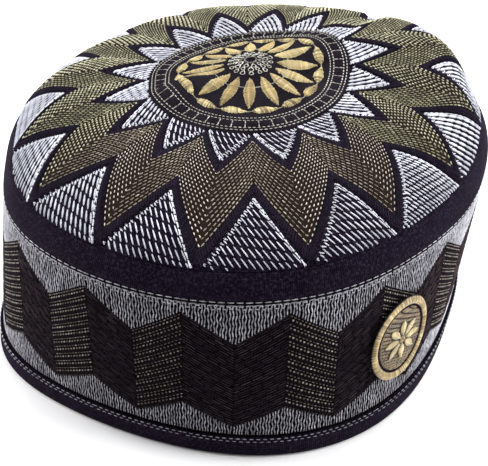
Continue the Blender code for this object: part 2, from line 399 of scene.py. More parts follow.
class Ground:
    """A cloth face that threads are laid on, with two coordinates on it."""

    probe: tuple = (1e-3, 1e-3)

    def __init__(self, shape: CapShape) -> None:
        """Keep the cap's curves."""
        self.shape = shape

    def point(self, first: Values, second: Values, out: Values) -> Values:
        """Give points at two coordinates and a distance out."""
        raise NotImplementedError

    def relief(self, first: Values, second: Values) -> Values:
        """Give how far the cloth's own padding stands out."""
        return np.zeros(np.shape(first))

    def on_cloth(self, first: Values, second: Values, out: Values | float = 0.0) -> Values:
        """Give points a distance out from the padded cloth."""
        return self.point(first, second, self.relief(first, second) + out)

    def slopes(self, first: Values, second: Values) -> tuple[Values, Values]:
        """Give how points move along each coordinate.

        Args:
            first: First coordinates.
            second: Second coordinates.

        Returns:
            Metres for each unit of the first and of the second coordinate.
        """
        flat = np.zeros(np.shape(first))
        one, two = self.probe
        along = self.point(first + one, second, flat) - self.point(first - one, second, flat)
        across = self.point(first, second + two, flat) - self.point(first, second - two, flat)
        return along / (2 * one), across / (2 * two)

    def moved(self, place: Values, run: Values, sideways: Values | float) -> Values:
        """Give the steps in coordinates that lead sideways from a run.

        Args:
            place: Coordinates, one pair a row.
            run: Step in coordinates that the sideways way is square to, or one a row.
            sideways: Distance in metres to the left of the run, or one a row.

        Returns:
            The steps in coordinates.
        """
        run = np.atleast_2d(run)
        one, two = self.slopes(place[:, 0], place[:, 1])
        heading = unit(one * run[:, :1] + two * run[:, 1:])
        side = np.cross(unit(np.cross(one, two)), heading) * np.reshape(sideways, (-1, 1))
        products = ((one, one), (one, two), (two, two), (side, one), (side, two))
        own, mixed, other, first, second = (np.einsum("ij,ij->i", *factors) for factors in products)
        spread = own * other - mixed * mixed
        return pairs((first * other - second * mixed) / spread, (second * own - first * mixed) / spread)

    def distances(self, place: Values) -> Values:
        """Measure on the cloth from each of a line's nodes to the next."""
        points = self.point(place[:, 0], place[:, 1], np.zeros(len(place)))
        return np.linalg.norm(np.diff(points, axis=0), axis=1)

    def length(self, start: Values, end: Values) -> float:
        """Measure a straight run of coordinates on the cloth."""
        share = np.linspace(0.0, 1.0, 7)[:, None]
        return float(self.distances(np.asarray(start) * (1 - share) + np.asarray(end) * share).sum())


class StarGround(Ground):
    """The crown's cloth, by star step and share."""

    outline: float = 0.013
    star_rise: float = 0.0011
    field_rise: float = 0.0006
    tip_hold: float = 0.3
    first_row: float = 0.17
    last_row: float = 0.82
    row_count: int = 12
    quilting: float = 0.00010

    def lines(self, step: Values) -> tuple[Values, Values]:
        """Give the shares of the star's inner and outer zigzag lines.

        Args:
            step: Steps round the cap.

        Returns:
            Shares of the inner line and of the outer one.
        """
        shape = self.shape
        turn = shape.star_turn(step)
        notch = notch_share(step)
        inner, outer = (apex * shape.star_gain(turn) for apex in (shape.inner_apex, shape.outer_apex))
        ring = shape.medallion_share * shape.ring_gain(turn)
        return inner + (ring - inner) * notch, shape.star_tip + (outer - shape.star_tip) * notch

    def point(self, first: Values, second: Values, out: Values) -> Values:
        """Give points at a star step and share."""
        return self.shape.crown(self.shape.leaning_turn(first, second), second, out)

    def relief(self, first: Values, second: Values) -> Values:
        """Raise the star and the fields beside it, with grooves along the lines.

        Args:
            first: Star steps.
            second: Shares from the centre to the strip.

        Returns:
            Heights over the face.
        """
        inner, outer = self.lines(first)
        edge = self.outline
        way = (second - inner) / (outer - inner)
        ends = self.tip_hold + (1 - self.tip_hold) * eased((1.0 - second) / edge)
        star = eased(np.minimum(second - inner, outer - second) / edge) * ends
        inside = eased((inner - second) / edge)
        outside = eased((second - outer) / edge) * ends
        row = (self.last_row - self.first_row) / (self.row_count - 1)
        ripple = np.cos(FULL_TURN * (way - self.first_row) / row)
        ripple = ripple * ((way > self.first_row - row / 2) & (way < self.last_row + row / 2))
        rise = self.star_rise * star + self.quilting * ripple * star
        return rise + self.field_rise * (inside + outside)


class WallGround(Ground):
    """The wall's cloth, by zigzag step and height."""

    probe: tuple = (1e-3, 1e-4)
    edge: float = 0.0014
    pair_count: int = 11
    first_pair: float = 0.045
    pair_step: float = 0.0865
    rib_rise: float = 0.00038
    rib_share: float = 0.5
    rib_edge: float = 0.14
    small_rib_rise: float = 0.00008
    small_rib_half: float = 0.12
    small_rib_edge: float = 0.1
    bright_middle: float = radians(211)
    dim_gain: float = 0.35
    blend: float = 0.03

    def lines(self, step: Values) -> tuple[Values, Values]:
        """Give the heights of the zigzag's lower and upper edges.

        Args:
            step: Steps round the cap.

        Returns:
            Heights of the lower edge and of the upper one.
        """
        notch = notch_share(step)
        ends = zip(self.shape.zigzag_peak, self.shape.zigzag_valley)
        low, high = ((peak + (valley - peak) * notch) * self.shape.wall_height for peak, valley in ends)
        return low, high

    def point(self, first: Values, second: Values, out: Values) -> Values:
        """Give points at a zigzag step and height."""
        return self.shape.wall(self.shape.zigzag_turn(first), second, out)

    def is_bright(self, step: Values) -> Values:
        """Tell whether a step lies on a flank of the zigzag whose thread has painted sheen.

        Args:
            step: Steps round the cap.

        Returns:
            True where the thread has painted sheen.
        """
        middle = np.floor(2 * step) / 2 + 0.25
        left = np.cos(self.shape.zigzag_turn(middle) - self.bright_middle) > 0
        return (np.mod(middle, 1.0) > 0.5) == left

    def rib_gain(self, step: Values) -> Values:
        """Give how high the ribs stand: lower on the flanks painted in shade.

        Args:
            step: Steps round the cap.

        Returns:
            Shares of the full height.
        """
        own = np.where(self.is_bright(step), 1.0, self.dim_gain)
        between = (1.0 + self.dim_gain) / 2
        away = 0.25 - np.abs(np.mod(step, 0.5) - 0.25)
        return between + (own - between) * np.clip(away / self.blend, 0.0, 1.0)

    def relief(self, first: Values, second: Values) -> Values:
        """Raise a rib between the pairs of rows and a low one in each pair.

        Args:
            first: Zigzag steps.
            second: Heights above the floor.

        Returns:
            Heights over the face.
        """
        low, high = self.lines(first)
        way = ((high - second) / (high - low) - self.first_pair) / self.pair_step + 0.5
        raised = eased(np.minimum(second - low, high - second) / self.edge)
        away = np.abs(np.mod(way + 0.5, 1.0) - 0.5)
        rib = eased(((self.rib_share + self.rib_edge) / 2 - away) / self.rib_edge)
        small_rib = eased((self.small_rib_half - np.abs(0.5 - away)) / self.small_rib_edge)
        return raised * (self.rib_rise * rib + self.small_rib_rise * small_rib) * self.rib_gain(first)


class StripGround(Ground):
    """The black strip, by star step and share from its foot to its top."""

    puff: float = 0.0009
    puff_power: float = 0.6
    puff_tilt: float = 0.45
    top_gap: float = 0.00006

    def point(self, first: Values, second: Values, out: Values) -> Values:
        """Give points at a star step and a share up the strip.

        Args:
            first: Star steps.
            second: Shares up the strip.
            out: Distances out from the face.

        Returns:
            The points.
        """
        shape = self.shape
        turn = shape.star_turn(first)
        flat = np.zeros(np.shape(turn))
        foot = shape.wall(turn, flat + shape.wall_height + shape.gap, flat)
        away = unit(shape.crown_base(turn, flat + 1.0) - shape.crown_base(turn, flat + 0.99))
        top = shape.crown(turn, flat + 1.0, flat) + away * self.top_gap
        bulge = self.puff * np.sin(pi * np.clip(second, 0.0, 1.0)) ** self.puff_power
        lean = unit(np.stack([np.cos(turn), np.sin(turn), self.puff_tilt + flat], axis=-1))
        return foot + (top - foot) * np.asarray(second)[..., None] + lean * (bulge + out)[..., None]


class HemGround(WallGround):
    """The binding's plain outer face, by zigzag step and height."""

    def point(self, first: Values, second: Values, out: Values) -> Values:
        """Give points on the binding's outer face."""
        return super().point(first, second, out + (self.shape.gap + self.shape.hem_cloth))

    def relief(self, first: Values, second: Values) -> Values:
        """Keep the binding's face plain."""
        return np.zeros(np.shape(first))


class MedallionGround(Ground):
    """The round panel in the middle of the crown, by star step and share."""

    height: float = 0.0012
    edge_share: float = 0.433
    edge_drop: float = 0.0006
    edge_run: float = 0.014
    ladder_low: float = 0.3615
    ladder_high: float = 0.405
    ladder_edge: float = 0.010
    pad_rise: float = 0.0005
    pad_fullness: float = 1.6
    boxes_a_step: int = 3
    eyelet: float = 0.019
    eyelet_edge: float = 0.008
    eyelet_depth: float = 0.0009

    def point(self, first: Values, second: Values, out: Values) -> Values:
        """Give points at a star step and share, over the crown and down at the edge.

        Args:
            first: Star steps.
            second: Shares from the centre to the strip.
            out: Distances out from the face.

        Returns:
            The points.
        """
        turn = self.shape.star_turn(first)
        drop = self.edge_drop * eased((second - self.edge_share + self.edge_run) / self.edge_run)
        return self.shape.crown(turn, second * self.shape.ring_gain(turn), out + self.height - drop)

    def relief(self, first: Values, second: Values) -> Values:
        """Raise the pads of the ladder ring and sink the eyelet.

        Args:
            first: Star steps.
            second: Shares from the centre to the strip.

        Returns:
            Heights over the face.
        """
        inside = eased((second - self.ladder_low) / self.ladder_edge)
        inside = inside * eased((self.ladder_high - second) / self.ladder_edge)
        box = np.abs(np.sin(pi * self.boxes_a_step * first))
        sunk = eased((self.eyelet - second) / self.eyelet_edge)
        return self.pad_rise * inside * eased(box * self.pad_fullness) - self.eyelet_depth * sunk


class BadgeGround(Ground):
    """The oval patch, by metres across and up from its middle."""

    probe: tuple = (1e-4, 1e-4)
    middle_turn: float = radians(337)
    middle_height: float = 0.0370
    lift: float = 0.0021

    def point(self, first: Values, second: Values, out: Values) -> Values:
        """Give points across and up from the patch's middle."""
        turn = self.middle_turn + np.asarray(first) / float(self.shape.seam_radius(self.middle_turn))
        return self.shape.wall(turn, self.middle_height + second, out + self.lift)


@dataclass(frozen=True)
class Thread:
    """Size of one kind of thread, its lift off the cloth and its rise halfway along."""

    width: float
    thick: float
    lift: float
    arch: float = 0.0


def centres(count: int) -> Values:
    """Give the middles of even parts of 1."""
    return (np.arange(count) + 0.5) / count


def flank(half_step: int, inset: float) -> Values:
    """Give the steps at the two ends of a flank, each drawn in by an inset."""
    return np.array([half_step, half_step + 1]) / 2 + np.array([inset, -inset])


@dataclass
class Stitches:
    """Threads to lay on one ground, each from a start to an end."""

    ground: Ground
    rows: list = field(default_factory=list)
    shortest: float = 0.3

    def add(
        self,
        start: Values,
        end: Values,
        thread: Thread,
        tone: Values,
        widening: Values | float = 1.0,
        arch: Values | float = 0.0,
    ) -> None:
        """Add threads.

        Args:
            start: Coordinates of the starts, one pair a row.
            end: Coordinates of the ends.
            thread: Kind of the threads.
            tone: Shade of each from 0, dark, to 1, light.
            widening: Times wider than their kind.
            arch: Rise halfway along, on top of their kind's.
        """
        start = np.atleast_2d(start)
        sizes = (thread.width * widening, thread.thick, tone, thread.lift, thread.arch + arch)
        columns = [np.broadcast_to(size, len(start)) for size in sizes]
        self.rows.append(np.column_stack([start, np.atleast_2d(end), *columns]))

    def spaced(self, whole: float, pitch: float, length: float, offset: float) -> tuple[Values, Values]:
        """Space stitches along a row, cut off at the row's ends.

        Args:
            whole: Length of the row.
            pitch: Distance from one stitch to the next.
            length: Length of a stitch.
            offset: Where the first stitch starts, which may be below 0.

        Returns:
            How far along the row each stitch starts and ends.
        """
        low = offset + pitch * np.arange(max(int((whole - offset) / pitch) + 1, 1))
        high = np.minimum(low + length, whole)
        low = np.maximum(low, 0.0)
        keep = high - low > self.shortest * length
        return low[keep], high[keep]

    def run(self, start: Values, end: Values, pitch: float, length: float, offset: float) -> tuple:
        """Split a straight row into stitches.

        Args:
            start: Coordinates of the row's start.
            end: Coordinates of its end.
            pitch: Distance from one stitch to the next.
            length: Length of a stitch.
            offset: Where the first stitch starts, which may be below 0.

        Returns:
            The starts and ends, each an array of pairs.
        """
        whole = self.ground.length(start, end)
        low, high = self.spaced(whole, pitch, length, offset)
        start = np.asarray(start)
        way = np.asarray(end) - start
        return start + way * (low / whole)[:, None], start + way * (high / whole)[:, None]

    def trace(self, line: Values, pitch: float, length: float, offset: float) -> tuple:
        """Split a bent row into stitches.

        Args:
            line: Coordinates of the row's nodes.
            pitch: Distance from one stitch to the next.
            length: Length of a stitch.
            offset: Where the first stitch starts, which may be below 0.

        Returns:
            The starts and ends, each an array of pairs.
        """
        far = np.concatenate([[0.0], np.cumsum(self.ground.distances(line))])
        ends = self.spaced(far[-1], pitch, length, offset)
        first, last = (
            pairs(np.interp(end, far, line[:, 0]), np.interp(end, far, line[:, 1])) for end in ends
        )
        return first, last


class ThreadMould:
    """One short thread, modelled once and copied along every row."""

    fullness: float = 0.8

    def __init__(self) -> None:
        """Model the thread and read its mesh."""
        bpy.ops.mesh.primitive_uv_sphere_add(segments=4, ring_count=4, radius=1.0)
        thread = bpy.context.object
        mesh = thread.data
        self.places = read(mesh.vertices, "co", 3)
        self.corners = read(mesh.loops, "vertex_index", kind=np.int64)
        self.totals = read(mesh.polygons, "loop_total", kind=np.int64)
        self.uv = read(mesh.uv_layers.active.data, "uv", 2)
        bpy.data.objects.remove(thread)

    def lay(self, name: str, stitches: Stitches, material: Material) -> Object:
        """Copy the thread along every stitch and join the copies.

        Args:
            name: Name of the piece.
            stitches: Where the threads go.
            material: The thread's finish.

        Returns:
            The joined piece.
        """
        rows = np.concatenate(stitches.rows)
        start, end = rows[:, :2], rows[:, 2:4]
        width, thick, tone, lift, arch = rows[:, 4:].T[..., None]
        middle = (start + end) / 2
        run = end - start
        side = stitches.ground.moved(middle, run, width / 2)
        across, high, along = self.places.T
        along = np.sign(along) * np.abs(along) ** self.fullness
        place = middle[:, None] + run[:, None] * along[:, None] / 2 + side[:, None] * across[:, None]
        out = lift + arch * (1 - along**2) + thick / 2 * high
        points = stitches.ground.on_cloth(place[..., 0], place[..., 1], out)
        number, each = out.shape
        corners = self.corners + each * np.arange(number)[:, None]
        totals = np.tile(self.totals, number)
        mesh = bpy.data.meshes.new(name)
        mesh.vertices.add(number * each)
        mesh.vertices.foreach_set("co", points.reshape(-1))
        mesh.loops.add(corners.size)
        mesh.loops.foreach_set("vertex_index", corners.reshape(-1))
        mesh.polygons.add(len(totals))
        mesh.polygons.foreach_set("loop_start", np.concatenate([[0], np.cumsum(totals)[:-1]]))
        mesh.update(calc_edges=True)
        mesh.uv_layers.new(name="thread").data.foreach_set("uv", np.tile(self.uv.reshape(-1), number))
        mesh.attributes.new("tone", "FLOAT", "POINT").data.foreach_set("value", np.repeat(tone, each))
        mesh.polygons.foreach_set("use_smooth", np.ones(len(totals), dtype=bool))
        mesh.validate()
        mesh.materials.append(material)
        piece = bpy.data.objects.new(name, mesh)
        bpy.context.scene.collection.objects.link(piece)
        return piece


@dataclass(frozen=True)
class Shell:
    """What a piece of cloth is made of.

    The grid is its faces along its two sides, and lengths are the sides' real lengths,
    for the weave. The first face looks outward. An offset of -1 keeps the wrapped sheet
    as the outer face, and 0 as the middle.
    """

    name: str
    node: str
    grid: tuple
    lengths: tuple
    thickness: float
    outward: tuple
    finish: str = "black"
    slot: Slot = Slot.BLACK_CLOTH
    offset: float = -1.0


class ClothMaker:
    """Makes cloth shells: a flat grid, wrapped on a ground and given its thickness."""

    weld: float = 0.000002
    smooth_angle: float = 0.9

    def wrap(self, shell: Shell, place: Placing, tint: Placing | None) -> Object:
        """Add a grid and wrap it.

        Args:
            shell: What the piece is made of.
            place: Turns grid coordinates, 0 to 1 each, into points.
            tint: Turns grid coordinates into shares of the finish's second colour.

        Returns:
            The wrapped sheet, its seam and pole closed and its faces outward.
        """
        bpy.ops.object.select_all(action="DESELECT")
        bpy.ops.mesh.primitive_grid_add(x_subdivisions=shell.grid[0], y_subdivisions=shell.grid[1], size=1.0)
        piece = bpy.context.object
        mesh = piece.data
        piece.name = mesh.name = shell.name
        around, along = read(mesh.vertices, "co", 3).T[:2] + 0.5
        weave = pairs(around * shell.lengths[0], along * shell.lengths[1])
        weave = weave[read(mesh.loops, "vertex_index", kind=np.int64)]
        mesh.uv_layers.active.data.foreach_set("uv", weave.reshape(-1))
        mesh.uv_layers.active.name = "weave"
        mesh.vertices.foreach_set("co", place(around, along).reshape(-1))
        if tint is not None:
            mesh.attributes.new("tint", "FLOAT", "POINT").data.foreach_set("value", tint(around, along))
        mesh.update()
        bpy.ops.object.mode_set(mode="EDIT")
        bpy.ops.mesh.select_all(action="SELECT")
        bpy.ops.mesh.remove_doubles(threshold=self.weld)
        bpy.ops.mesh.normals_make_consistent(inside=False)
        bpy.ops.object.mode_set(mode="OBJECT")
        bpy.ops.object.shade_smooth()
        return piece

    def make(self, shell: Shell, place: Placing, material: Material, tint: Placing | None = None) -> Object:
        """Wrap a sheet, give it its thickness and shade it.

        Args:
            shell: What the piece is made of.
            place: Turns grid coordinates into points.
            material: The cloth's finish.
            tint: Turns grid coordinates into shares of the finish's second colour.

        Returns:
            The finished cloth.
        """
        piece = self.wrap(shell, place, tint)
        bpy.context.view_layer.objects.active = piece
        if piece.data.polygons[0].normal.dot(Vector(shell.outward)) < 0:
            piece.data.flip_normals()
        wall = piece.modifiers.new("thickness", "SOLIDIFY")
        wall.thickness = shell.thickness
        wall.offset = shell.offset
        wall.use_even_offset = True
        bpy.ops.object.modifier_apply(modifier=wall.name)
        bpy.ops.object.select_all(action="DESELECT")
        piece.select_set(True)
        bpy.ops.object.shade_smooth_by_angle(angle=self.smooth_angle)
        piece.data.materials.clear()
        piece.data.materials.append(material)
        return piece


class Nodes:
    """Adds and links the nodes of one material."""

    def __init__(self, name: str) -> None:
        """Start a material with a surface shader.

        Args:
            name: Name of the material.
        """
        self.material = bpy.data.materials.new(name)
        self.material.use_nodes = True
        self.tree = self.material.node_tree
        self.shader = self.tree.nodes["Principled BSDF"]

    def add(self, kind: str, **values: object) -> Node:
        """Add a node.

        Args:
            kind: The node's type.
            **values: Its settings, or values of its input sockets.

        Returns:
            The node.
        """
        node = self.tree.nodes.new(kind)
        for name, value in values.items():
            if hasattr(node, name):
                setattr(node, name, value)
            else:
                node.inputs[name].default_value = value
        return node

    def link(self, output: NodeSocket, into: NodeSocket) -> None:
        """Link an output to an input."""
        self.tree.links.new(output, into)

    def noise(self, scale: float, detail: float, roughness: float) -> NodeSocket:
        """Add a noise through the piece and give its values.

        Args:
            scale: Scale of the pattern.
            detail: Its detail.
            roughness: Weight of its fine detail.

        Returns:
            The output of its values.
        """
        node = self.add("ShaderNodeTexNoise", Scale=scale, Detail=detail, Roughness=roughness)
        self.link(self.add("ShaderNodeTexCoord").outputs["Object"], node.inputs["Vector"])
        return node.outputs["Fac"]

    def waves(self, uv_map: str, way: str, scale: float, bend: float) -> NodeSocket:
        """Add waves that run one way over a UV map and give their values.

        Args:
            uv_map: Name of the UV map.
            way: Name of the way that the waves run.
            scale: Scale of the pattern.
            bend: How far they bend.

        Returns:
            The output of their values.
        """
        node = self.add("ShaderNodeTexWave", bands_direction=way, Scale=scale, Distortion=bend)
        self.link(self.add("ShaderNodeUVMap", uv_map=uv_map).outputs["UV"], node.inputs["Vector"])
        return node.outputs["Fac"]

    def attribute(self, name: str) -> NodeSocket:
        """Give the values of a mesh's own attribute."""
        return self.add("ShaderNodeAttribute", attribute_name=name).outputs["Fac"]

    def ramp(self, factor: NodeSocket, places: tuple, colours: tuple) -> NodeSocket:
        """Turn a factor into colours.

        Args:
            factor: What the ramp reads.
            places: Where on the factor each colour lies.
            colours: The colours.

        Returns:
            The colour output.
        """
        node = self.add("ShaderNodeValToRGB")
        elements = node.color_ramp.elements
        while len(elements) < len(places):
            elements.new(0.5)
        for element, place, colour in zip(elements, places, colours):
            element.position = place
            element.color = (*colour, 1.0)
        self.link(factor, node.inputs["Fac"])
        return node.outputs["Color"]

    def mixed(
        self, factor: NodeSocket | float, first: NodeSocket, second: object, blend: str = "MIX"
    ) -> NodeSocket:
        """Mix two colours.

        Args:
            factor: Share of the second colour.
            first: A colour output.
            second: A colour output or a colour.
            blend: The way of mixing.

        Returns:
            The mixed colour.
        """
        node = self.add("ShaderNodeMix", data_type="RGBA", blend_type=blend)
        share, one, two = (node.inputs[number] for number in (0, 6, 7))
        self.link(first, one)
        for value, socket in ((factor, share), (second, two)):
            if isinstance(value, NodeSocket):
                self.link(value, socket)
            else:
                socket.default_value = value if socket is share else (*value, 1.0)
        return node.outputs[2]

    def darkened(self, colour: NodeSocket, factor: NodeSocket, places: tuple, share: float) -> NodeSocket:
        """Darken a colour down to a share of it where a factor is low."""
        shade = self.ramp(factor, places, ((share, share, share), WHITE))
        return self.mixed(1.0, colour, shade, "MULTIPLY")

    def surface(self, colour: NodeSocket, values: dict) -> Material:
        """Set the shader's colour and its other inputs by name, and give the material.

        Args:
            colour: The colour output.
            values: Values of the shader's other inputs by name.

        Returns:
            The material.
        """
        self.link(colour, self.shader.inputs["Base Color"])
        for name, value in values.items():
            self.shader.inputs[name].default_value = value
        return self.material

    def bump(self, height: NodeSocket, distance: float, strength: float) -> None:
        """Bump the surface by a height.

        Args:
            height: The output that gives the height.
            distance: Height of the bumps in metres.
            strength: Strength of the bumps, 0 to 1.
        """
        node = self.add("ShaderNodeBump", Distance=distance, Strength=strength)
        self.link(height, node.inputs["Height"])
        self.link(node.outputs["Normal"], self.shader.inputs["Normal"])


@dataclass(frozen=True)
class ClothFinish:
    """Woven black cloth with a fine rib, lint and a soft sheen.

    A noise has its scale, its detail and its roughness.
    """

    name: str
    dark: tuple
    light: tuple
    sheen: float = 0.01
    lint: tuple = (0.010, 0.008, 0.013)
    roughness: float = 0.85
    specular: float = 0.02
    sheen_colour: tuple = (0.80, 0.66, 1.0, 1.0)
    sheen_roughness: float = 0.5
    tint: tuple = (0.015, 0.0095, 0.0070)
    rib: float = 0.0007
    waves_a_unit: int = 20
    rib_bend: float = 1.5
    rib_share: float = 0.35
    rib_bump: tuple = (0.0003, 0.7)
    cloud: tuple = (90.0, 5.0, 0.6)
    cloud_places: tuple = (0.35, 0.7)
    fluff: tuple = (1100.0, 3.0, 0.7)
    fluff_places: tuple = (0.48, 0.72)

    def material(self) -> Material:
        """Build the material.

        Returns:
            The material.
        """
        nodes = Nodes(self.name)
        colours = (self.dark, self.light)
        scale = FULL_TURN / self.rib / self.waves_a_unit
        height = nodes.add("ShaderNodeMath", operation="MULTIPLY")
        for number, way in enumerate("XY"):
            nodes.link(nodes.waves("weave", way, scale, self.rib_bend), height.inputs[number])
        nodes.bump(height.outputs[0], *self.rib_bump)
        colour = nodes.ramp(nodes.noise(*self.cloud), self.cloud_places, colours)
        # Colour follows the rib's height, darker in its grooves and lighter on its tops: painted shade and
        # light.
        rib_shading = nodes.ramp(height.outputs[0], (0.0, 1.0), colours)
        colour = nodes.mixed(self.rib_share, colour, rib_shading)
        fluff = nodes.ramp(nodes.noise(*self.fluff), self.fluff_places, (BLACK, WHITE))
        colour = nodes.mixed(fluff, colour, self.lint)
        colour = nodes.mixed(nodes.attribute("tint"), colour, self.tint)
        values = {"Roughness": self.roughness, "Specular IOR Level": self.specular}
        values |= {"Sheen Weight": self.sheen, "Sheen Tint": self.sheen_colour}
        return nodes.surface(colour, values | {"Sheen Roughness": self.sheen_roughness})


@dataclass(frozen=True)
class ThreadFinish:
    """Twisted embroidery thread whose shade varies from stitch to stitch."""

    name: str
    dark: tuple
    middle: tuple
    light: tuple
    roughness: float = 0.5
    specular: float = 0.4
    sheen: float = 0.2
    cloud: tuple = (160.0, 3.0, 0.5)
    worn_places: tuple = (0.3, 0.65)
    worn: float = 0.62
    ply: tuple = (2.5, 0.6)
    furrow_shade_places: tuple = (0.0, 0.4)
    furrow_shade: float = 0.72
    ply_bump: tuple = (0.0001, 0.5)

    def material(self) -> Material:
        """Build the material.

        Returns:
            The material.
        """
        nodes = Nodes(self.name)
        ply = nodes.waves("thread", "DIAGONAL", *self.ply)
        nodes.bump(ply, *self.ply_bump)
        colour = nodes.ramp(nodes.attribute("tone"), (0.0, 0.5, 1.0), (self.dark, self.middle, self.light))
        colour = nodes.darkened(colour, nodes.noise(*self.cloud), self.worn_places, self.worn)
        # Darker in the furrows between the twisted plies: painted shade.
        colour = nodes.darkened(colour, ply, self.furrow_shade_places, self.furrow_shade)
        values = {"Roughness": self.roughness, "Specular IOR Level": self.specular}
        return nodes.surface(colour, values | {"Sheen Weight": self.sheen})


@dataclass(frozen=True)
class FloorFinish:
    """Plain pale floor."""

    name: str = "pale floor"
    colour: tuple = (0.93, 0.93, 0.94)
    darkening: float = 0.99
    roughness: float = 0.9
    cloud: tuple = (3.0, 2.0, 0.5)
    cloud_places: tuple = (0.3, 0.7)

    def material(self) -> Material:
        """Build the material.

        Returns:
            The material.
        """
        nodes = Nodes(self.name)
        darker = tuple(part * self.darkening for part in self.colour)
        colour = nodes.ramp(nodes.noise(*self.cloud), self.cloud_places, (darker, self.colour))
        return nodes.surface(colour, {"Roughness": self.roughness})


@dataclass(frozen=True)
class Finishes:
    """All the finishes of the cap."""

    black: ClothFinish = ClothFinish(
        "black cloth", (0.0020, 0.0006, 0.0038), (0.0070, 0.0034, 0.0120), 0.028, (0.022, 0.018, 0.029)
    )
    wall: ClothFinish = ClothFinish("wall cloth", (0.0012, 0.0005, 0.0008), (0.0036, 0.0020, 0.0025))
    middle: ClothFinish = ClothFinish("middle cloth", (0.0040, 0.0030, 0.0044), (0.0180, 0.0146, 0.0205))
    gold_rows: ThreadFinish = ThreadFinish(
        "gold stitch thread", (0.08, 0.053, 0.038), (0.34, 0.275, 0.195), (0.80, 0.74, 0.63)
    )
    olive: ThreadFinish = ThreadFinish(
        "olive stitch thread", (0.075, 0.070, 0.035), (0.29, 0.275, 0.145), (0.74, 0.72, 0.50)
    )
    outline: ThreadFinish = ThreadFinish(
        "black satin thread", (0.0020, 0.0008, 0.0038), (0.008, 0.005, 0.013), (0.028, 0.019, 0.042),
        0.8, 0.02, 0.035,
    )
    white: ThreadFinish = ThreadFinish(
        "white thread", (0.30, 0.31, 0.375), (0.56, 0.575, 0.67), (0.86, 0.86, 0.935)
    )
    grey: ThreadFinish = ThreadFinish(
        "grey thread", (0.17, 0.168, 0.195), (0.45, 0.445, 0.505), (0.84, 0.83, 0.92)
    )
    # The zigzag's thread in a lit copy and a shaded copy: painted sheen and painted shade.
    tan: ThreadFinish = ThreadFinish(
        "sheen lit tan grey thread", (0.020, 0.0145, 0.0135), (0.150, 0.116, 0.098), (0.60, 0.53, 0.475),
        0.6, 0.15, 0.0,
    )
    brown: ThreadFinish = ThreadFinish(
        "shaded brown thread", (0.015, 0.0100, 0.0135), (0.052, 0.036, 0.045), (0.108, 0.080, 0.088),
        0.75, 0.06, 0.0,
    )
    satin: ThreadFinish = ThreadFinish(
        "gold satin thread", (0.13, 0.083, 0.025), (0.425, 0.302, 0.104), (0.80, 0.71, 0.37), 0.42, 0.5
    )
    metal: ThreadFinish = ThreadFinish(
        "bright gold thread", (0.10, 0.055, 0.015), (0.50, 0.33, 0.115), (0.98, 0.84, 0.48), 0.32, 0.8
    )
    cream: ThreadFinish = ThreadFinish(
        "cream thread", (0.11, 0.10, 0.085), (0.38, 0.36, 0.305), (0.84, 0.81, 0.74)
    )


@dataclass
class Workshop:
    """What every sub-assembly works with."""

    shape: CapShape
    mould: ThreadMould
    cloth: ClothMaker
    materials: dict
    chance: np.random.Generator

    def dress(self, piece: Object, slot: Slot, *nodes: str) -> Object:
        """Let a piece ride on the cap, hide the CAD parts that it replaces and log its triangles.

        Args:
            piece: The finished piece.
            slot: Not used.
            *nodes: CAD nodes that it replaces.

        Returns:
            The piece.
        """
        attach(piece, BODY)
        if nodes:
            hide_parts(*nodes)
        triangles = sum(len(face.vertices) - 2 for face in piece.data.polygons)
        LOG.info("%s: %d triangles", piece.name, triangles)
        return piece

    def clothe(self, shell: Shell, place: Placing, tint: Placing | None = None) -> Object:
        """Make and dress a piece of cloth, placed and tinted by grid coordinates."""
        piece = self.cloth.make(shell, place, self.materials[shell.finish], tint)
        return self.dress(piece, shell.slot, shell.node)

    def sew(self, name: str, stitches: Stitches, finish: str, slot: Slot) -> None:
        """Make and dress a piece of thread with one finish."""
        self.dress(self.mould.lay(name, stitches, self.materials[finish]), slot)

    def tones(self, count: int, middle: float, spread: float) -> Values:
        """Draw shades round a middle one."""
        return np.clip(self.chance.normal(middle, spread, count), 0.0, 1.0)

    def lighter_tones(self, lowest: Values, spread: float) -> Values:
        """Draw a shade for each lowest one, as light or lighter."""
        return np.clip(self.tones(len(lowest), 0.0, spread) + lowest, 0.0, 1.0)


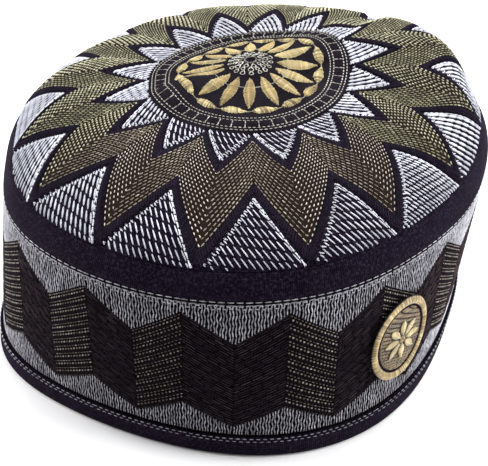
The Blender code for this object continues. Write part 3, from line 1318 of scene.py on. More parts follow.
@dataclass
class Crown:
    """The domed panel: its cloth, the gold star and the white fields.

    A tone is the middle shade of some threads and how much it varies. The star's flanks
    with and without painted sheen have a stitch length and a middle shade. A change has
    a middle turn, a spread and a size.
    """

    shop: Workshop
    size: tuple = (0.57, 0.088)
    columns_a_point: int = 18
    rows: int = 100
    row_ends: tuple = (0.0, 0.05, 0.17, 0.20, 0.82, 0.85, 1.0)
    outer_limit: float = 0.9995
    brown_ways: tuple = (0.15, 0.84)
    brown_blend: float = 0.03
    gold_pitch: float = 0.0019
    gold_slip: float = 0.00008
    gold_inset: float = 0.002
    gold_sheen_lit: tuple = (0.00105, 0.76)
    gold_sheen_unlit: tuple = (0.00150, 0.46)
    gold_spread: float = 0.15
    gold_thread: Thread = Thread(0.00041, 0.00045, 0.0001)
    olive_thread: Thread = Thread(0.00062, 0.00045, 0.0001)
    gold_sheen_turn: float = radians(304)
    gold_centre: float = radians(299)
    gold_reach: float = radians(48)
    band_pitch: float = 0.00055
    band_inset: float = 0.004
    band_ways: tuple = ((-0.005, 0.145), (0.850, 1.000))
    band_top: float = 0.995
    band_slant: float = 0.035
    band_least: float = 0.012
    band_ridge_shade: float = 0.24
    band_tone: tuple = (0.42, 0.08)
    band_thread: Thread = Thread(0.0005, 0.00030, 0.00002)
    inner_inset: float = 0.03
    inner_foot: float = 0.002
    inner_drop: float = 0.0096
    outer_inset: float = 0.048
    outer_foot: float = 0.998
    outer_rise: float = 0.0132
    white_row: float = 0.00178
    inner_row: float = 0.82
    fewest_rows: int = 4
    white_pitch: float = 0.00435
    white_length: float = 0.00400
    white_slip: float = 0.0003
    guide_reach: float = 1.2
    guide_nodes: int = 31
    turn_reach: float = 1.5
    turn_nodes: int = 121
    white_join: float = 0.25
    white_lean: float = 0.00018
    white_gain: float = 1.8
    white_thread: Thread = Thread(0.00047, 0.00060, 0.0002)
    white_tone: tuple = (0.80, 0.13)
    beside_shade: float = 0.08
    back_shade: float = 0.30
    left_shade: float = 0.26
    foot_shade: float = 0.45
    foot_shade_from: float = 0.955
    foot_shade_run: float = 0.04
    back_shade_turn: float = radians(110)
    left_shade_turn: float = radians(234)
    white_front: float = radians(298)
    shortening: float = 1.3
    row_changes: tuple = (
        (radians(229), radians(12), -0.22),
        (radians(351), radians(9), -0.27),
        (radians(15), radians(11), 0.22),
    )
    width_changes: tuple = ((radians(351), radians(9), -0.55), (radians(15), radians(12), 0.55))
    hook_out: float = 0.00060
    hook_back: float = 0.15
    hook_reach: float = 0.0014
    hook_limits: tuple = (0.001, 0.1, 0.5)
    hook_tone: tuple = (0.75, 0.12)
    hook_thread: Thread = Thread(0.00052, 0.00060, 0.0002)
    edge_stitch: float = 0.0026
    edge_sway: float = 0.00042
    edge_slip: float = 0.00012
    edge_tone: tuple = (0.85, 0.1)
    edge_thread: Thread = Thread(0.00058, 0.00060, 0.0003)

    def build(self) -> None:
        """Build the panel's pieces."""
        self.ground = StarGround(self.shop.shape)
        self.build_cloth()
        self.build_gold()
        self.build_bands()
        self.build_white()

    def row_shares(self, step: Values, rows: Values) -> Values:
        """Give shares whose rows follow the star's lines.

        Args:
            step: Star step of every point.
            rows: Place of every point across the grid, 0 to 1.

        Returns:
            The share of every point.
        """
        shape = self.shop.shape
        inner, outer = self.ground.lines(step)
        half = self.ground.outline
        outer = np.minimum(outer, self.outer_limit)
        ring = shape.medallion_share * shape.ring_gain(shape.star_turn(step))
        marks = (0.0, ring, inner, inner + half, outer - half, outer, 1.0)
        return spread_rows(rows, self.row_ends, marks)

    def build_cloth(self) -> None:
        """Build the padded cloth of the panel."""
        shape = self.shop.shape

        def place(around: Values, along: Values) -> Values:
            """Wrap the grid over the dome."""
            step = around * shape.star_points
            return self.ground.on_cloth(step, self.row_shares(step, along))

        def tint(around: Values, along: Values) -> Values:
            """Give the brown share: full under the star's rows.

            Args:
                around: Grid coordinates round the piece, 0 to 1.
                along: Grid coordinates across it, 0 to 1.

            Returns:
                The shares.
            """
            step = around * shape.star_points
            inner, outer = self.ground.lines(step)
            way = (self.row_shares(step, along) - inner) / (outer - inner)
            low, high = self.brown_ways
            return eased(np.minimum(way - low, high - way) / self.brown_blend)

        grid = (shape.star_points * self.columns_a_point, self.rows)
        shell = Shell("crown_cloth", "crown", grid, self.size, shape.cloth, (0, 0, 1))
        self.shop.clothe(shell, place, tint)

    def build_gold(self) -> None:
        """Lay the star's twelve rows of short stitches, gold in front and olive elsewhere."""
        ground = self.ground
        gold, olive = Stitches(ground), Stitches(ground)
        rows = np.linspace(ground.first_row, ground.last_row, ground.row_count)
        for half_step in range(2 * self.shop.shape.star_points):
            near = flank(half_step, self.gold_inset)
            inner, outer = ground.lines(near)
            turn = float(self.shop.shape.star_turn(half_step / 2 + 0.25))
            falling = half_step % 2 == 1
            # Falling flanks on one side and rising ones on the other get the lighter shade: painted sheen.
            bright = falling == (sin(turn - self.gold_sheen_turn) < 0)
            length, middle = self.gold_sheen_lit if bright else self.gold_sheen_unlit
            in_front = cos(turn - self.gold_centre) > cos(self.gold_reach)
            stitches, thread = (gold, self.gold_thread) if in_front else (olive, self.olive_thread)
            for number, way in enumerate(rows):
                start, end = pairs(near, inner + (outer - inner) * way)
                offset = -self.gold_pitch * (number % 3) / 3 + self.shop.chance.normal(0.0, self.gold_slip)
                first, last = stitches.run(start, end, self.gold_pitch, length, offset)
                stitches.add(first, last, thread, self.shop.tones(len(first), middle, self.gold_spread))
        self.shop.sew("crown_gold_stitches", gold, "gold_rows", Slot.GOLD_THREAD)
        self.shop.sew("crown_olive_stitches", olive, "olive", Slot.STAR_CLOTH)

    def build_bands(self) -> None:
        """Cover the black bands along the star's lines with slanted satin stitches."""
        ground = self.ground
        stitches = Stitches(ground)
        for half_step in range(2 * self.shop.shape.star_points):
            near = flank(half_step, self.band_inset)
            slant = self.band_slant * (1 if half_step % 2 else -1)
            for low_way, high_way in self.band_ways:
                inner, outer = ground.lines(near)
                start, end = pairs(near, inner + (outer - inner) * (low_way + high_way) / 2)
                share = centres(int(ground.length(start, end) / self.band_pitch))
                step = start[0] + (end[0] - start[0]) * share
                inner, outer = ground.lines(step)
                low = inner + (outer - inner) * low_way
                high = np.minimum(inner + (outer - inner) * high_way, self.band_top)
                keep = high - low > self.band_least
                first = pairs(step + slant, low)[keep]
                last = pairs(step - slant, high)[keep]
                # Stitches lighter and darker by turns: painted light and shade of the satin's ridges.
                ridge_shade = self.band_ridge_shade * (-1.0) ** np.arange(len(first))
                tone = np.clip(self.shop.tones(len(first), *self.band_tone) + ridge_shade, 0.0, 1.0)
                stitches.add(first, last, self.band_thread, tone)
        self.shop.sew("crown_outline_stitches", stitches, "outline", Slot.BLACK_CLOTH)

    def triangles(self) -> list:
        """List the white fields.

        Returns:
            Apex, the corner whose edge the rows follow, and the other corner of each.
        """
        shape = self.shop.shape
        found = []
        for step in range(shape.star_points):
            feet = np.array([step - 0.5 + self.inner_inset, step + 0.5 - self.inner_inset])
            low = shape.medallion_share * shape.ring_gain(shape.star_turn(feet)) + self.inner_foot
            gains = shape.star_gain(shape.star_turn(np.array([step, step + 0.5])))
            apex = (step, shape.inner_apex * gains[0] - self.inner_drop)
            found.append(np.array([apex, (feet[0], low[0]), (feet[1], low[1])]))
            apex = (step + 0.5, shape.outer_apex * gains[1] + self.outer_rise)
            far, near = step + 1 - self.outer_inset, step + self.outer_inset
            found.append(np.array([apex, (far, self.outer_foot), (near, self.outer_foot)]))
        return found

    def build_white(self) -> None:
        """Fill the fields on both sides of the star with white rows."""
        stitches = Stitches(self.ground)
        chance = self.shop.chance
        for apex, along, other in self.triangles():
            turn = float(self.shop.shape.star_turn(apex[0]))
            beside = min((float(self.gain_at(apex[0])) - 1) / self.white_gain, 1.0)
            change = float(local_change(turn, self.row_changes))
            shorter = 1 + min(self.shortening * change, 0.0)
            pitch = self.white_row * (1 + change) * (self.inner_row if along[1] < apex[1] else 1.0)
            count = max(int(self.field_height(apex, along, other) / pitch), self.fewest_rows)
            step = self.white_pitch * shorter
            length = self.white_length * shorter + self.white_join * beside * step
            middle, spread = self.white_tone
            # The middle shade drops at the sides, at the back and on the left: painted shade.
            middle -= self.beside_shade * beside + self.back_shade * float(facing(turn, self.back_shade_turn))
            middle -= self.left_shade * float(facing(turn, self.left_shade_turn)) ** 2
            for number, share in enumerate(centres(count)):
                line = self.row_line(apex, along, other, share)
                offset = -step * 0.5 * (number % 2) - abs(chance.normal(0.0, self.white_slip))
                first, last = stitches.trace(line, step, length, offset)
                if len(first) == 0:
                    continue
                side = self.ground.moved(first, last - first, self.white_lean)
                side = side * (1.0 if float(side[0] @ (along - other)) > 0 else -1.0)
                first, last = first - side, last + side
                # Rows darken where they run down into the groove at the strip: painted shade.
                foot = eased((last[:, 1] - self.foot_shade_from) / self.foot_shade_run)
                tone = self.shop.tones(len(first), middle, spread) * (1 - self.foot_shade * foot)
                stitches.add(first, last, self.white_thread, tone, self.gain_at(first[:, 0]))
            self.edge_hooks(stitches, apex, along, other, count)
            self.heavy_edge(stitches, apex, along)
        self.shop.sew("crown_white_stitches", stitches, "white", Slot.STAR_CLOTH)

    def row_line(self, apex: Values, along: Values, other: Values, share: float) -> Values:
        """Draw a row that keeps its distance from the edge that the rows follow.

        Args:
            apex: Coordinates of the field's apex.
            along: The corner whose edge the row follows.
            other: The field's third corner.
            share: Where the row starts on the edge from the apex to the third corner.

        Returns:
            Coordinates of the row's nodes, up to the field's far side.
        """
        turns = self.shop.shape.star_turn
        steps = apex[0] + np.linspace(-self.turn_reach, self.turn_reach, self.turn_nodes)
        guide = apex + (along - apex) * np.linspace(0.0, self.guide_reach, self.guide_nodes)[:, None]
        start = apex + (other - apex) * share
        level = guide[:, 1] * np.exp(1j * turns(guide[:, 0]))
        level = level - level[0] + start[1] * np.exp(1j * turns(start[0]))
        middle = turns(apex[0])
        turn = np.angle(level * np.exp(-1j * middle)) + middle
        line = pairs(np.interp(turn, turns(steps), steps), np.abs(level))
        far = along[1] + (other[1] - along[1]) * (line[:, 0] - along[0]) / (other[0] - along[0])
        left = (far - line[:, 1]) * np.sign(along[1] - apex[1])
        past = int(np.argmax(left < 0)) if np.any(left < 0) else len(line) - 1
        way = left[past - 1] / max(left[past - 1] - left[past], 1e-9)
        end = line[past - 1] + (line[past] - line[past - 1]) * min(way, 1.0)
        return np.concatenate([line[:past], end[None, :]])

    def field_height(self, *corners: Values) -> float:
        """Measure how far the third corner lies from the edge between the others.

        Args:
            *corners: Coordinates of the three corners.

        Returns:
            The distance in metres.
        """
        places = np.array(corners)
        points = self.ground.point(places[:, 0], places[:, 1], np.zeros(3))
        run = points[1] - points[0]
        return float(np.linalg.norm(np.cross(run, points[2] - points[0])) / np.linalg.norm(run))

    def gain_at(self, step: Values) -> Values:
        """Give how much wider the white threads lie on the cap's bright side.

        Args:
            step: Steps round the cap.

        Returns:
            How many times as wide as their kind they lie.
        """
        turn = self.shop.shape.star_turn(step)
        beside = 1 - facing(turn, self.white_front) ** 2
        return 1 + self.white_gain * beside + local_change(turn, self.width_changes)

    def edge_hooks(self, stitches: Stitches, apex: Values, along: Values, other: Values, count: int) -> None:
        """Start each row with a small hook round the field's edge.

        Args:
            stitches: What the threads are added to.
            apex: Coordinates of the field's apex.
            along: The corner whose edge the rows follow.
            other: The corner at the far end of the hooked edge.
            count: Number of rows.
        """
        share = centres(count)[:, None]
        edge = other - apex
        place = apex + edge * share
        inward = (along - other) * (1 - share)
        side = self.ground.moved(place, edge, self.hook_out)
        sign = -1.0 if float(side[count // 2] @ inward[count // 2]) > 0 else 1.0
        crest = place - self.hook_back * edge / count + sign * side
        least_whole, least_share, most = self.hook_limits
        whole = max(self.ground.length(other, along), least_whole)
        reach = np.minimum(self.hook_reach / whole / np.maximum(1 - share, least_share), most)
        for first, last in ((apex + edge * (share - 0.5 / count), crest), (crest, place + inward * reach)):
            stitches.add(first, last, self.hook_thread, self.shop.tones(count, *self.hook_tone))

    def heavy_edge(self, stitches: Stitches, apex: Values, along: Values) -> None:
        """Lay two jagged strands that cross along the edge that the rows follow.

        Args:
            stitches: What the threads are added to.
            apex: Coordinates of the field's apex.
            along: The corner at the edge's far end.
        """
        count = int(self.ground.length(apex, along) / self.edge_stitch) + 1
        share = np.linspace(0.0, 1.0, count + 1)
        line = apex + (along - apex) * share[:, None]
        for side in (-1, 1):
            jag = self.edge_sway * side * (-1.0) ** np.arange(count + 1) * (1 - 0.5 * share)
            jag = jag + self.shop.chance.normal(0.0, self.edge_slip, count + 1)
            nodes = line + self.ground.moved(line, along - apex, jag)
            stitches.add(nodes[:-1], nodes[1:], self.edge_thread, self.shop.tones(count, *self.edge_tone))


@dataclass(frozen=True)
class Leaf:
    """A satin leaf: its outline, the bow of its middle line, its shade and dark share."""

    half_width: float
    fullness: float
    bow: float
    tone: float
    dark_share: float


@dataclass
class Medallion:
    """The round panel with petals, scallops, a ladder ring and a lace middle.

    A lace ring has its share, its number of loops and their size.
    """

    shop: Workshop
    size: tuple = (0.24, 0.038)
    thickness: float = 0.0009
    columns_a_point: int = 18
    rows: int = 52
    row_ends: tuple = (0.0, 0.08, 0.45, 1.0)
    row_shares: tuple = (0.0, 0.030, 0.345)
    satin_pitch: float = 0.00042
    satin_thread: Thread = Thread(0.00058, 0.00036, 0.00006, 0.00030)
    satin_arch: float = 0.13
    satin_slip: float = 0.00011
    satin_lean: float = 0.00025
    satin_spread: float = 0.10
    satin_sway: float = 0.06
    dark_tone: float = 0.08
    rim_thread: Thread = Thread(0.000522, 0.00036, 0.00012)
    rim_from: float = 0.62
    rim_gain: float = 0.30
    petal: Leaf = Leaf(0.00212, 0.85, 0.0, 0.58, 0.012)
    petal_shift: float = -0.083
    petal_inner: float = 0.112
    petal_outer: float = 0.288
    petal_gain: float = 0.22
    petal_gain_turn: float = radians(31)
    petal_shade: float = 0.14
    petal_shade_turn: float = radians(290)
    scallop: Leaf = Leaf(0.0018, 0.75, -0.0006, 0.66, 0.20)
    scallop_share: float = 0.311
    scallop_half_length: float = 0.0047
    scallop_drop: float = 0.004
    rings: tuple = (0.3465, 0.3615, 0.405, 0.4195)
    ring_dashes: int = 144
    ring_slip: float = 0.3
    ring_dash: float = 0.70
    ring_tone: tuple = (0.53, 0.16)
    ring_shine: float = 0.13
    ring_thread: Thread = Thread(0.00046, 0.00036, 0.00012)
    bar_tone: tuple = (0.45, 0.15)
    tie_share: float = 0.163
    tie_halves: tuple = (0.30, 0.22)
    tie_tone: tuple = (0.40, 0.1)
    tie_thread: Thread = Thread(0.00038, 0.0004, 0.0001)
    lace_rings: tuple = ((0.040, 10, 0.00070), (0.060, 14, 0.00080), (0.082, 17, 0.00085))
    lace_slip: tuple = (-0.1, 0.1)
    lace_gain: tuple = (0.8, 1.2)
    lace_tall: float = 1.3
    lace_outline: tuple = ((0, -1), (1, 0.4), (0.4, 1), (-0.4, 1), (-1, 0.4), (0, -1))
    lace_tone: tuple = (0.72, 0.27)
    lace_thread: Thread = Thread(0.00042, 0.00040, 0.00022)
    eyelet_stitches: int = 26
    eyelet_shares: tuple = (0.018, 0.027)
    eyelet_tone: tuple = (0.35, 0.15)
    eyelet_thread: Thread = Thread(0.00034, 0.0003, 0.0001, 0.0002)

    def build(self) -> None:
        """Build the panel's pieces."""
        self.ground = MedallionGround(self.shop.shape)
        self.build_cloth()
        self.build_satin()
        self.build_lines()
        self.build_lace()

    def build_cloth(self) -> None:
        """Build the thin round cloth with the pads of the ladder ring."""
        points = self.shop.shape.star_points
        shares = (*self.row_shares, self.ground.edge_share)

        def place(around: Values, along: Values) -> Values:
            """Wrap the grid over the middle of the dome."""
            return self.ground.on_cloth(around * points, np.interp(along, self.row_ends, shares))

        grid = (points * self.columns_a_point, self.rows)
        up = (0, 0, 1)
        shell = Shell("medallion_cloth", "medallion", grid, self.size, self.thickness, up, "middle")
        self.shop.clothe(shell, place)

    def sew_leaf(
        self, stitches: Stitches, tail: Values, tip: Values, leaf: Leaf, gain: float = 1.0,
        painted_shade: float = 0.0,
    ) -> None:
        """Cover a pointed leaf with satin stitches that lie across it.

        Args:
            stitches: What the threads are added to.
            tail: Coordinates of the leaf's inner end.
            tip: Coordinates of its outer end.
            leaf: Kind of the leaf.
            gain: Times wider than its kind.
            painted_shade: How much darker than its kind.
        """
        length = self.ground.length(tail, tip)
        share = centres(int(length / self.satin_pitch))
        run = np.asarray(tip) - np.asarray(tail)
        place = np.asarray(tail) + run * share[:, None]
        wide = leaf.half_width * gain * np.sin(pi * share**0.9) ** leaf.fullness
        middle = leaf.bow * np.sin(pi * share)
        chance = self.shop.chance
        uneven = chance.normal(0.0, self.satin_slip, (2, len(share)))
        lean = run * self.satin_lean / length
        left = place + self.ground.moved(place, run, middle + wide + uneven[0]) + lean
        right = place + self.ground.moved(place, run, middle - wide - uneven[1]) - lean
        centre = (left + right) / 2
        own = leaf.tone - painted_shade + chance.uniform(-self.satin_sway, self.satin_sway)
        tone = self.shop.tones(len(share), own, self.satin_spread)
        tone = np.where(chance.random(len(share)) < leaf.dark_share, self.dark_tone, tone)
        for outer in (left, right):
            rim = centre + self.rim_from * (outer - centre)
            stitches.add(rim, outer, self.rim_thread, np.clip(tone + self.rim_gain, 0.0, 1.0))
        stitches.add(left, right, self.satin_thread, tone, arch=self.satin_arch * wide)

    def build_satin(self) -> None:
        """Lay the petals and the ring of scallops in gold satin."""
        stitches = Stitches(self.ground)
        shape = self.shop.shape
        half = self.scallop_half_length / (self.scallop_share * shape.head_radius)
        half = half / (FULL_TURN / shape.star_points)
        low = self.scallop_share - self.scallop_drop
        for step in range(shape.star_points):
            middle = step + 0.5 + self.petal_shift
            turn = shape.star_turn(middle)
            gain = 1 + self.petal_gain * float(facing(turn, self.petal_gain_turn))
            # Petals darker towards the front: painted shade.
            painted_shade = self.petal_shade * float(facing(turn, self.petal_shade_turn))
            tail, tip = (middle, self.petal_inner), (middle, self.petal_outer)
            self.sew_leaf(stitches, tail, tip, self.petal, gain, painted_shade)
            middle = step + self.petal_shift
            self.sew_leaf(stitches, (middle - half, low), (middle + half, low), self.scallop)
        self.shop.sew("medallion_satin", stitches, "satin", Slot.GOLD_THREAD)

    def build_lines(self) -> None:
        """Lay the dashed rings, the ladder's bars and the ties between the leaves."""
        stitches = Stitches(self.ground)
        steps = self.shop.shape.star_points
        count = self.ring_dashes
        middle, spread = self.ring_tone
        for number, share in enumerate(self.rings):
            first = (np.arange(count) + self.ring_slip * number) * steps / count
            last = first + self.ring_dash * steps / count
            shine = self.ring_shine * facing(self.shop.shape.star_turn(first), 0.0)
            tone = self.shop.lighter_tones(middle + shine, spread)
            stitches.add(pairs(first, share), pairs(last, share), self.ring_thread, tone)
        boxes = self.ground.boxes_a_step
        bars = np.arange(boxes * steps) / boxes
        low, high = self.ground.ladder_low, self.ground.ladder_high
        for start, end in ((low, (low + high) / 2), ((low + high) / 2, high)):
            tone = self.shop.tones(len(bars), *self.bar_tone)
            stitches.add(pairs(bars, start), pairs(bars, end), self.ring_thread, tone)
        ties = np.arange(steps) + self.petal_shift
        shares = (self.tie_share, self.scallop_share - self.scallop_drop)
        for middle, half, share in zip((ties, ties + 0.5), self.tie_halves, shares):
            tone = self.shop.tones(steps, *self.tie_tone)
            stitches.add(pairs(middle - half, share), pairs(middle + half, share), self.tie_thread, tone)
        self.shop.sew("medallion_lines", stitches, "cream", Slot.GOLD_THREAD)

    def build_lace(self) -> None:
        """Lay rings of small drop-shaped loops round the eyelet."""
        stitches = Stitches(self.ground)
        steps = self.shop.shape.star_points
        radius = self.shop.shape.head_radius
        chance = self.shop.chance
        outline = np.array(self.lace_outline)
        for number, (share, loops, size) in enumerate(self.lace_rings):
            for loop in range(loops):
                middle = steps * (loop + 0.5 * (number % 2) + chance.uniform(*self.lace_slip)) / loops
                reach = size * chance.uniform(*self.lace_gain)
                side = reach / (radius * share) / (FULL_TURN / steps)
                corners = np.array([middle, share]) + outline * (side, self.lace_tall * reach / radius)
                tone = self.shop.tones(len(corners) - 1, *self.lace_tone)
                stitches.add(corners[:-1], corners[1:], self.lace_thread, tone)
        count = self.eyelet_stitches
        start, end = (pairs(steps * np.arange(count) / count, share) for share in self.eyelet_shares)
        stitches.add(start, end, self.eyelet_thread, self.shop.tones(count, *self.eyelet_tone))
        self.shop.sew("medallion_lace", stitches, "cream", Slot.GOLD_THREAD)


@dataclass
class CrownEdge:
    """The black strip between crown and wall, with the dashed seam at its foot."""

    shop: Workshop
    size: tuple = (0.57, 0.0095)
    columns_a_point: int = 18
    rows: int = 14
    seam_rows: tuple = (0.0002, 0.0014)
    seam_pitch: float = 0.0029
    seam_length: float = 0.0024
    seam_thread: Thread = Thread(0.00047, 0.00036, 0.00012)
    seam_lowest: float = 0.28
    seam_gain: float = 0.70
    seam_row_dim: float = 0.15
    seam_spread: float = 0.12
    outward_rise: float = 0.2
    dim_turn: float = radians(300)

    def build(self) -> None:
        """Build the strip and its seam stitches."""
        shape = self.shop.shape
        ground = StripGround(shape)

        def place(around: Values, along: Values) -> Values:
            """Wrap the grid round the strip."""
            return ground.on_cloth(around * shape.star_points, along)

        grid = (shape.star_points * self.columns_a_point, self.rows)
        outward = (cos(shape.star_first), sin(shape.star_first), self.outward_rise)
        shell = Shell("crown_edge_cloth", "crown_edge", grid, self.size, shape.cloth, outward)
        self.shop.clothe(shell, place)
        stitches = Stitches(WallGround(shape))
        for number in range(shape.zigzag_count * len(self.seam_rows)):
            step, row = divmod(number, len(self.seam_rows))
            start, end = pairs([step, step + 1.0], shape.wall_height - self.seam_rows[row])
            first, last = stitches.run(start, end, self.seam_pitch, self.seam_length, 0.0)
            # Seam stitches darker towards the front and lighter at the sides: painted shade.
            front = facing(shape.zigzag_turn(first[:, 0]), self.dim_turn)
            lowest = self.seam_lowest + self.seam_gain * (1 - front**2) - self.seam_row_dim * row
            stitches.add(first, last, self.seam_thread, self.shop.lighter_tones(lowest, self.seam_spread))
        self.shop.sew("seam_stitches", stitches, "grey", Slot.STAR_CLOTH)


@dataclass
class SideWall:
    """The upright wall: its cloth, the grey ground and the raised zigzag."""

    shop: Workshop
    size: tuple = (0.57, 0.066)
    columns_a_peak: int = 12
    rows: int = 150
    row_ends: tuple = (0.0, 0.06, 0.10, 0.90, 0.94, 1.0)
    column_ways: tuple = (0.0, 1 / 6, 2 / 6, 3 / 6, 4 / 6, 5 / 6, 1.0)
    column_places: tuple = (0.0, 0.06, 0.28, 0.5, 0.72, 0.94, 1.0)
    column: float = 0.00098
    column_slip: float = 0.06
    ground_foot: float = 0.0094
    ground_gap: float = 0.0002
    ground_over: float = 0.0003
    ground_least: float = 0.0012
    ground_pitch: float = 0.0023
    ground_lean: float = 0.00020
    ground_thread: Thread = Thread(0.00046, 0.00045, 0.0001)
    ground_tone: tuple = (0.76, 0.22)
    ground_overlap: float = 0.04
    wave: float = 0.83
    wave_share: float = 0.5
    phase_spread: float = 0.30
    lean_spread: float = 0.25
    step_length: float = 0.034
    link_heights: tuple = (0.06615, 0.06480)
    link_slip: float = 0.00015
    link_over: float = 0.1
    link_tone: tuple = (0.6, 0.12)
    link_thread: Thread = Thread(0.00050, 0.0004, 0.0001)
    zigzag_inset: float = 0.003
    dot_pitch: float = 0.0015
    dot_length: float = 0.00090
    dot_thread: Thread = Thread(0.00052, 0.0005, 0.0001)
    dot_spread: float = 0.14
    pair_ways: tuple = ((-0.0165, 0.70), (0.0165, 0.76))
    last_row: tuple = (0.985, 0.45)
    stroke_rows: int = 34
    stroke_pitch: float = 0.0044
    stroke_length: float = 0.0042
    stroke_thread: Thread = Thread(0.00042, 0.00036, 0.0001)
    stroke_tone: tuple = (0.56, 0.2)
    dim_turn: float = radians(292)
    dim_power: int = 6
    ground_dim: float = 0.50
    zigzag_dim: float = 0.28

    def build(self) -> None:
        """Build the wall's pieces."""
        self.ground = WallGround(self.shop.shape)
        self.build_cloth()
        self.build_ground()
        self.build_zigzag()

    def build_cloth(self) -> None:
        """Build the wall's cloth with its raised zigzag."""
        shape = self.shop.shape
        foot = shape.hem_cloth + shape.gap

        def place(around: Values, along: Values) -> Values:
            """Wrap the grid round the wall, its rows along the zigzag.

            Args:
                around: Grid coordinates round the piece, 0 to 1.
                along: Grid coordinates across it, 0 to 1.

            Returns:
                The points.
            """
            half_step = 2 * around * shape.zigzag_count
            whole = np.floor(half_step + 1e-6)
            step = (whole + np.interp(half_step - whole, self.column_ways, self.column_places)) / 2
            low, high = self.ground.lines(step)
            edge = self.ground.edge
            marks = (foot, low, low + edge, high - edge, high, shape.wall_height)
            return self.ground.on_cloth(step, spread_rows(along, self.row_ends, marks))

        grid = (shape.zigzag_count * self.columns_a_peak, self.rows)
        outward = (cos(shape.zigzag_first), sin(shape.zigzag_first), 0)
        shell = Shell("band_cloth", "band", grid, self.size, shape.cloth, outward, "wall", Slot.WALL_CLOTH)
        self.shop.clothe(shell, place)

    def build_ground(self) -> None:
        """Lay wavy upright lines of grey thread above and below the zigzag."""
        shape = self.shop.shape
        chance = self.shop.chance
        stitches = Stitches(self.ground)
        count = int(FULL_TURN * shape.head_radius / self.column)
        side = shape.zigzag_count / count
        for number in range(count):
            step = shape.zigzag_count * (number + chance.normal(0.0, self.column_slip)) / count
            low, high = (float(line) for line in self.ground.lines(step))
            upper = (high - self.ground_gap, self.link_heights[0] + self.ground_over)
            for foot, top in (upper, (self.ground_foot, low + self.ground_gap)):
                if top - foot >= self.ground_least:
                    self.lay_line(stitches, step, foot, top, number)
            height = self.link_heights[number % 2] + chance.normal(0.0, self.link_slip)
            if height > high:
                over = self.link_over * side
                start, end = pairs([step - over, step + side + over], height)
                stitches.add(start, end, self.link_thread, self.shop.tones(1, *self.link_tone))
        self.shop.sew("wall_ground_stitches", stitches, "grey", Slot.WALL_CLOTH)

    def dimmed(self, first: Values, tone: tuple, share: float) -> Values:
        """Draw tones for starts and darken them on the shaded front by a share at most."""
        front = facing(self.shop.shape.zigzag_turn(first[:, 0]), self.dim_turn)
        return np.clip(self.shop.tones(len(first), *tone) - share * front**self.dim_power, 0.0, 1.0)

    def lay_line(self, stitches: Stitches, step: float, foot: float, top: float, number: int) -> None:
        """Lay one upright line, leaning left and right by turns.

        Args:
            stitches: What the threads are added to.
            step: Zigzag step of the line.
            foot: Height of its lower end.
            top: Height of its upper end.
            number: Number of the line, which sets the side of its first lean.
        """
        chance = self.shop.chance
        pitch = self.ground_pitch
        phase = self.wave_share * sin(self.wave * number) + chance.normal(0.0, self.phase_spread)
        count = floor(foot / pitch) + np.arange(int((top - foot) / pitch) + 3)
        bend = pitch * (count + phase)
        side = (-1.0) ** (count + number // 2)
        inner = (bend > foot + self.ground_over) & (bend < top - self.ground_over)
        bend = np.concatenate([[foot], bend[inner], [top]])
        side = np.concatenate([[0.0], side[inner], [0.0]])
        side = side + chance.normal(0.0, self.lean_spread, len(bend))
        nodes = pairs(step + self.ground_lean * side / self.step_length, bend)
        over = self.ground_overlap * (nodes[1:] - nodes[:-1])
        first, last = nodes[:-1] - over, nodes[1:] + over
        stitches.add(first, last, self.ground_thread, self.dimmed(first, self.ground_tone, self.ground_dim))

    def build_zigzag(self) -> None:
        """Lay the zigzag's rows: dotted pairs on bright flanks, close strokes on dim ones."""
        bright, dim = Stitches(self.ground), Stitches(self.ground)
        for half_step in range(2 * self.shop.shape.zigzag_count):
            ends = flank(half_step, self.zigzag_inset)
            if self.ground.is_bright(np.mean(ends)):
                self.lay_dots(bright, ends)
            else:
                self.lay_strokes(dim, ends)
        # The bright flanks' tan thread and the dim flanks' brown thread are one thread lit and shaded:
        # painted sheen and painted shade.
        self.shop.sew("zigzag_bright_stitches", bright, "tan", Slot.WALL_CLOTH)
        self.shop.sew("zigzag_dim_stitches", dim, "brown", Slot.WALL_CLOTH)

    def lay_dots(self, stitches: Stitches, ends: Values) -> None:
        """Lay the pairs of dotted rows of one bright flank.

        Args:
            stitches: What the threads are added to.
            ends: Steps at the flank's two ends.
        """
        ground = self.ground
        low, high = ground.lines(ends)
        middles = ground.first_pair + ground.pair_step * np.arange(ground.pair_count)
        rows = [(middle + shift, shade) for shift, shade in self.pair_ways for middle in middles]
        for number, (way, shade) in enumerate([*rows, self.last_row]):
            start, end = pairs(ends, high + (low - high) * way)
            offset = -self.dot_pitch * (0.25 * (number % self.shop.chance.integers(2, 4)))
            first, last = stitches.run(start, end, self.dot_pitch, self.dot_length, offset)
            tone = self.dimmed(first, (shade, self.dot_spread), self.zigzag_dim)
            stitches.add(first, last, self.dot_thread, tone)

    def lay_strokes(self, stitches: Stitches, ends: Values) -> None:
        """Lay the close even rows of one dim flank.

        Args:
            stitches: What the threads are added to.
            ends: Steps at the flank's two ends.
        """
        low, high = self.ground.lines(ends)
        for way in centres(self.stroke_rows):
            start, end = pairs(ends, high + (low - high) * way)
            offset = -self.stroke_pitch * self.shop.chance.uniform(0.0, 1.0)
            first, last = stitches.run(start, end, self.stroke_pitch, self.stroke_length, offset)
            tone = self.dimmed(first, self.stroke_tone, self.zigzag_dim)
            stitches.add(first, last, self.stroke_thread, tone)


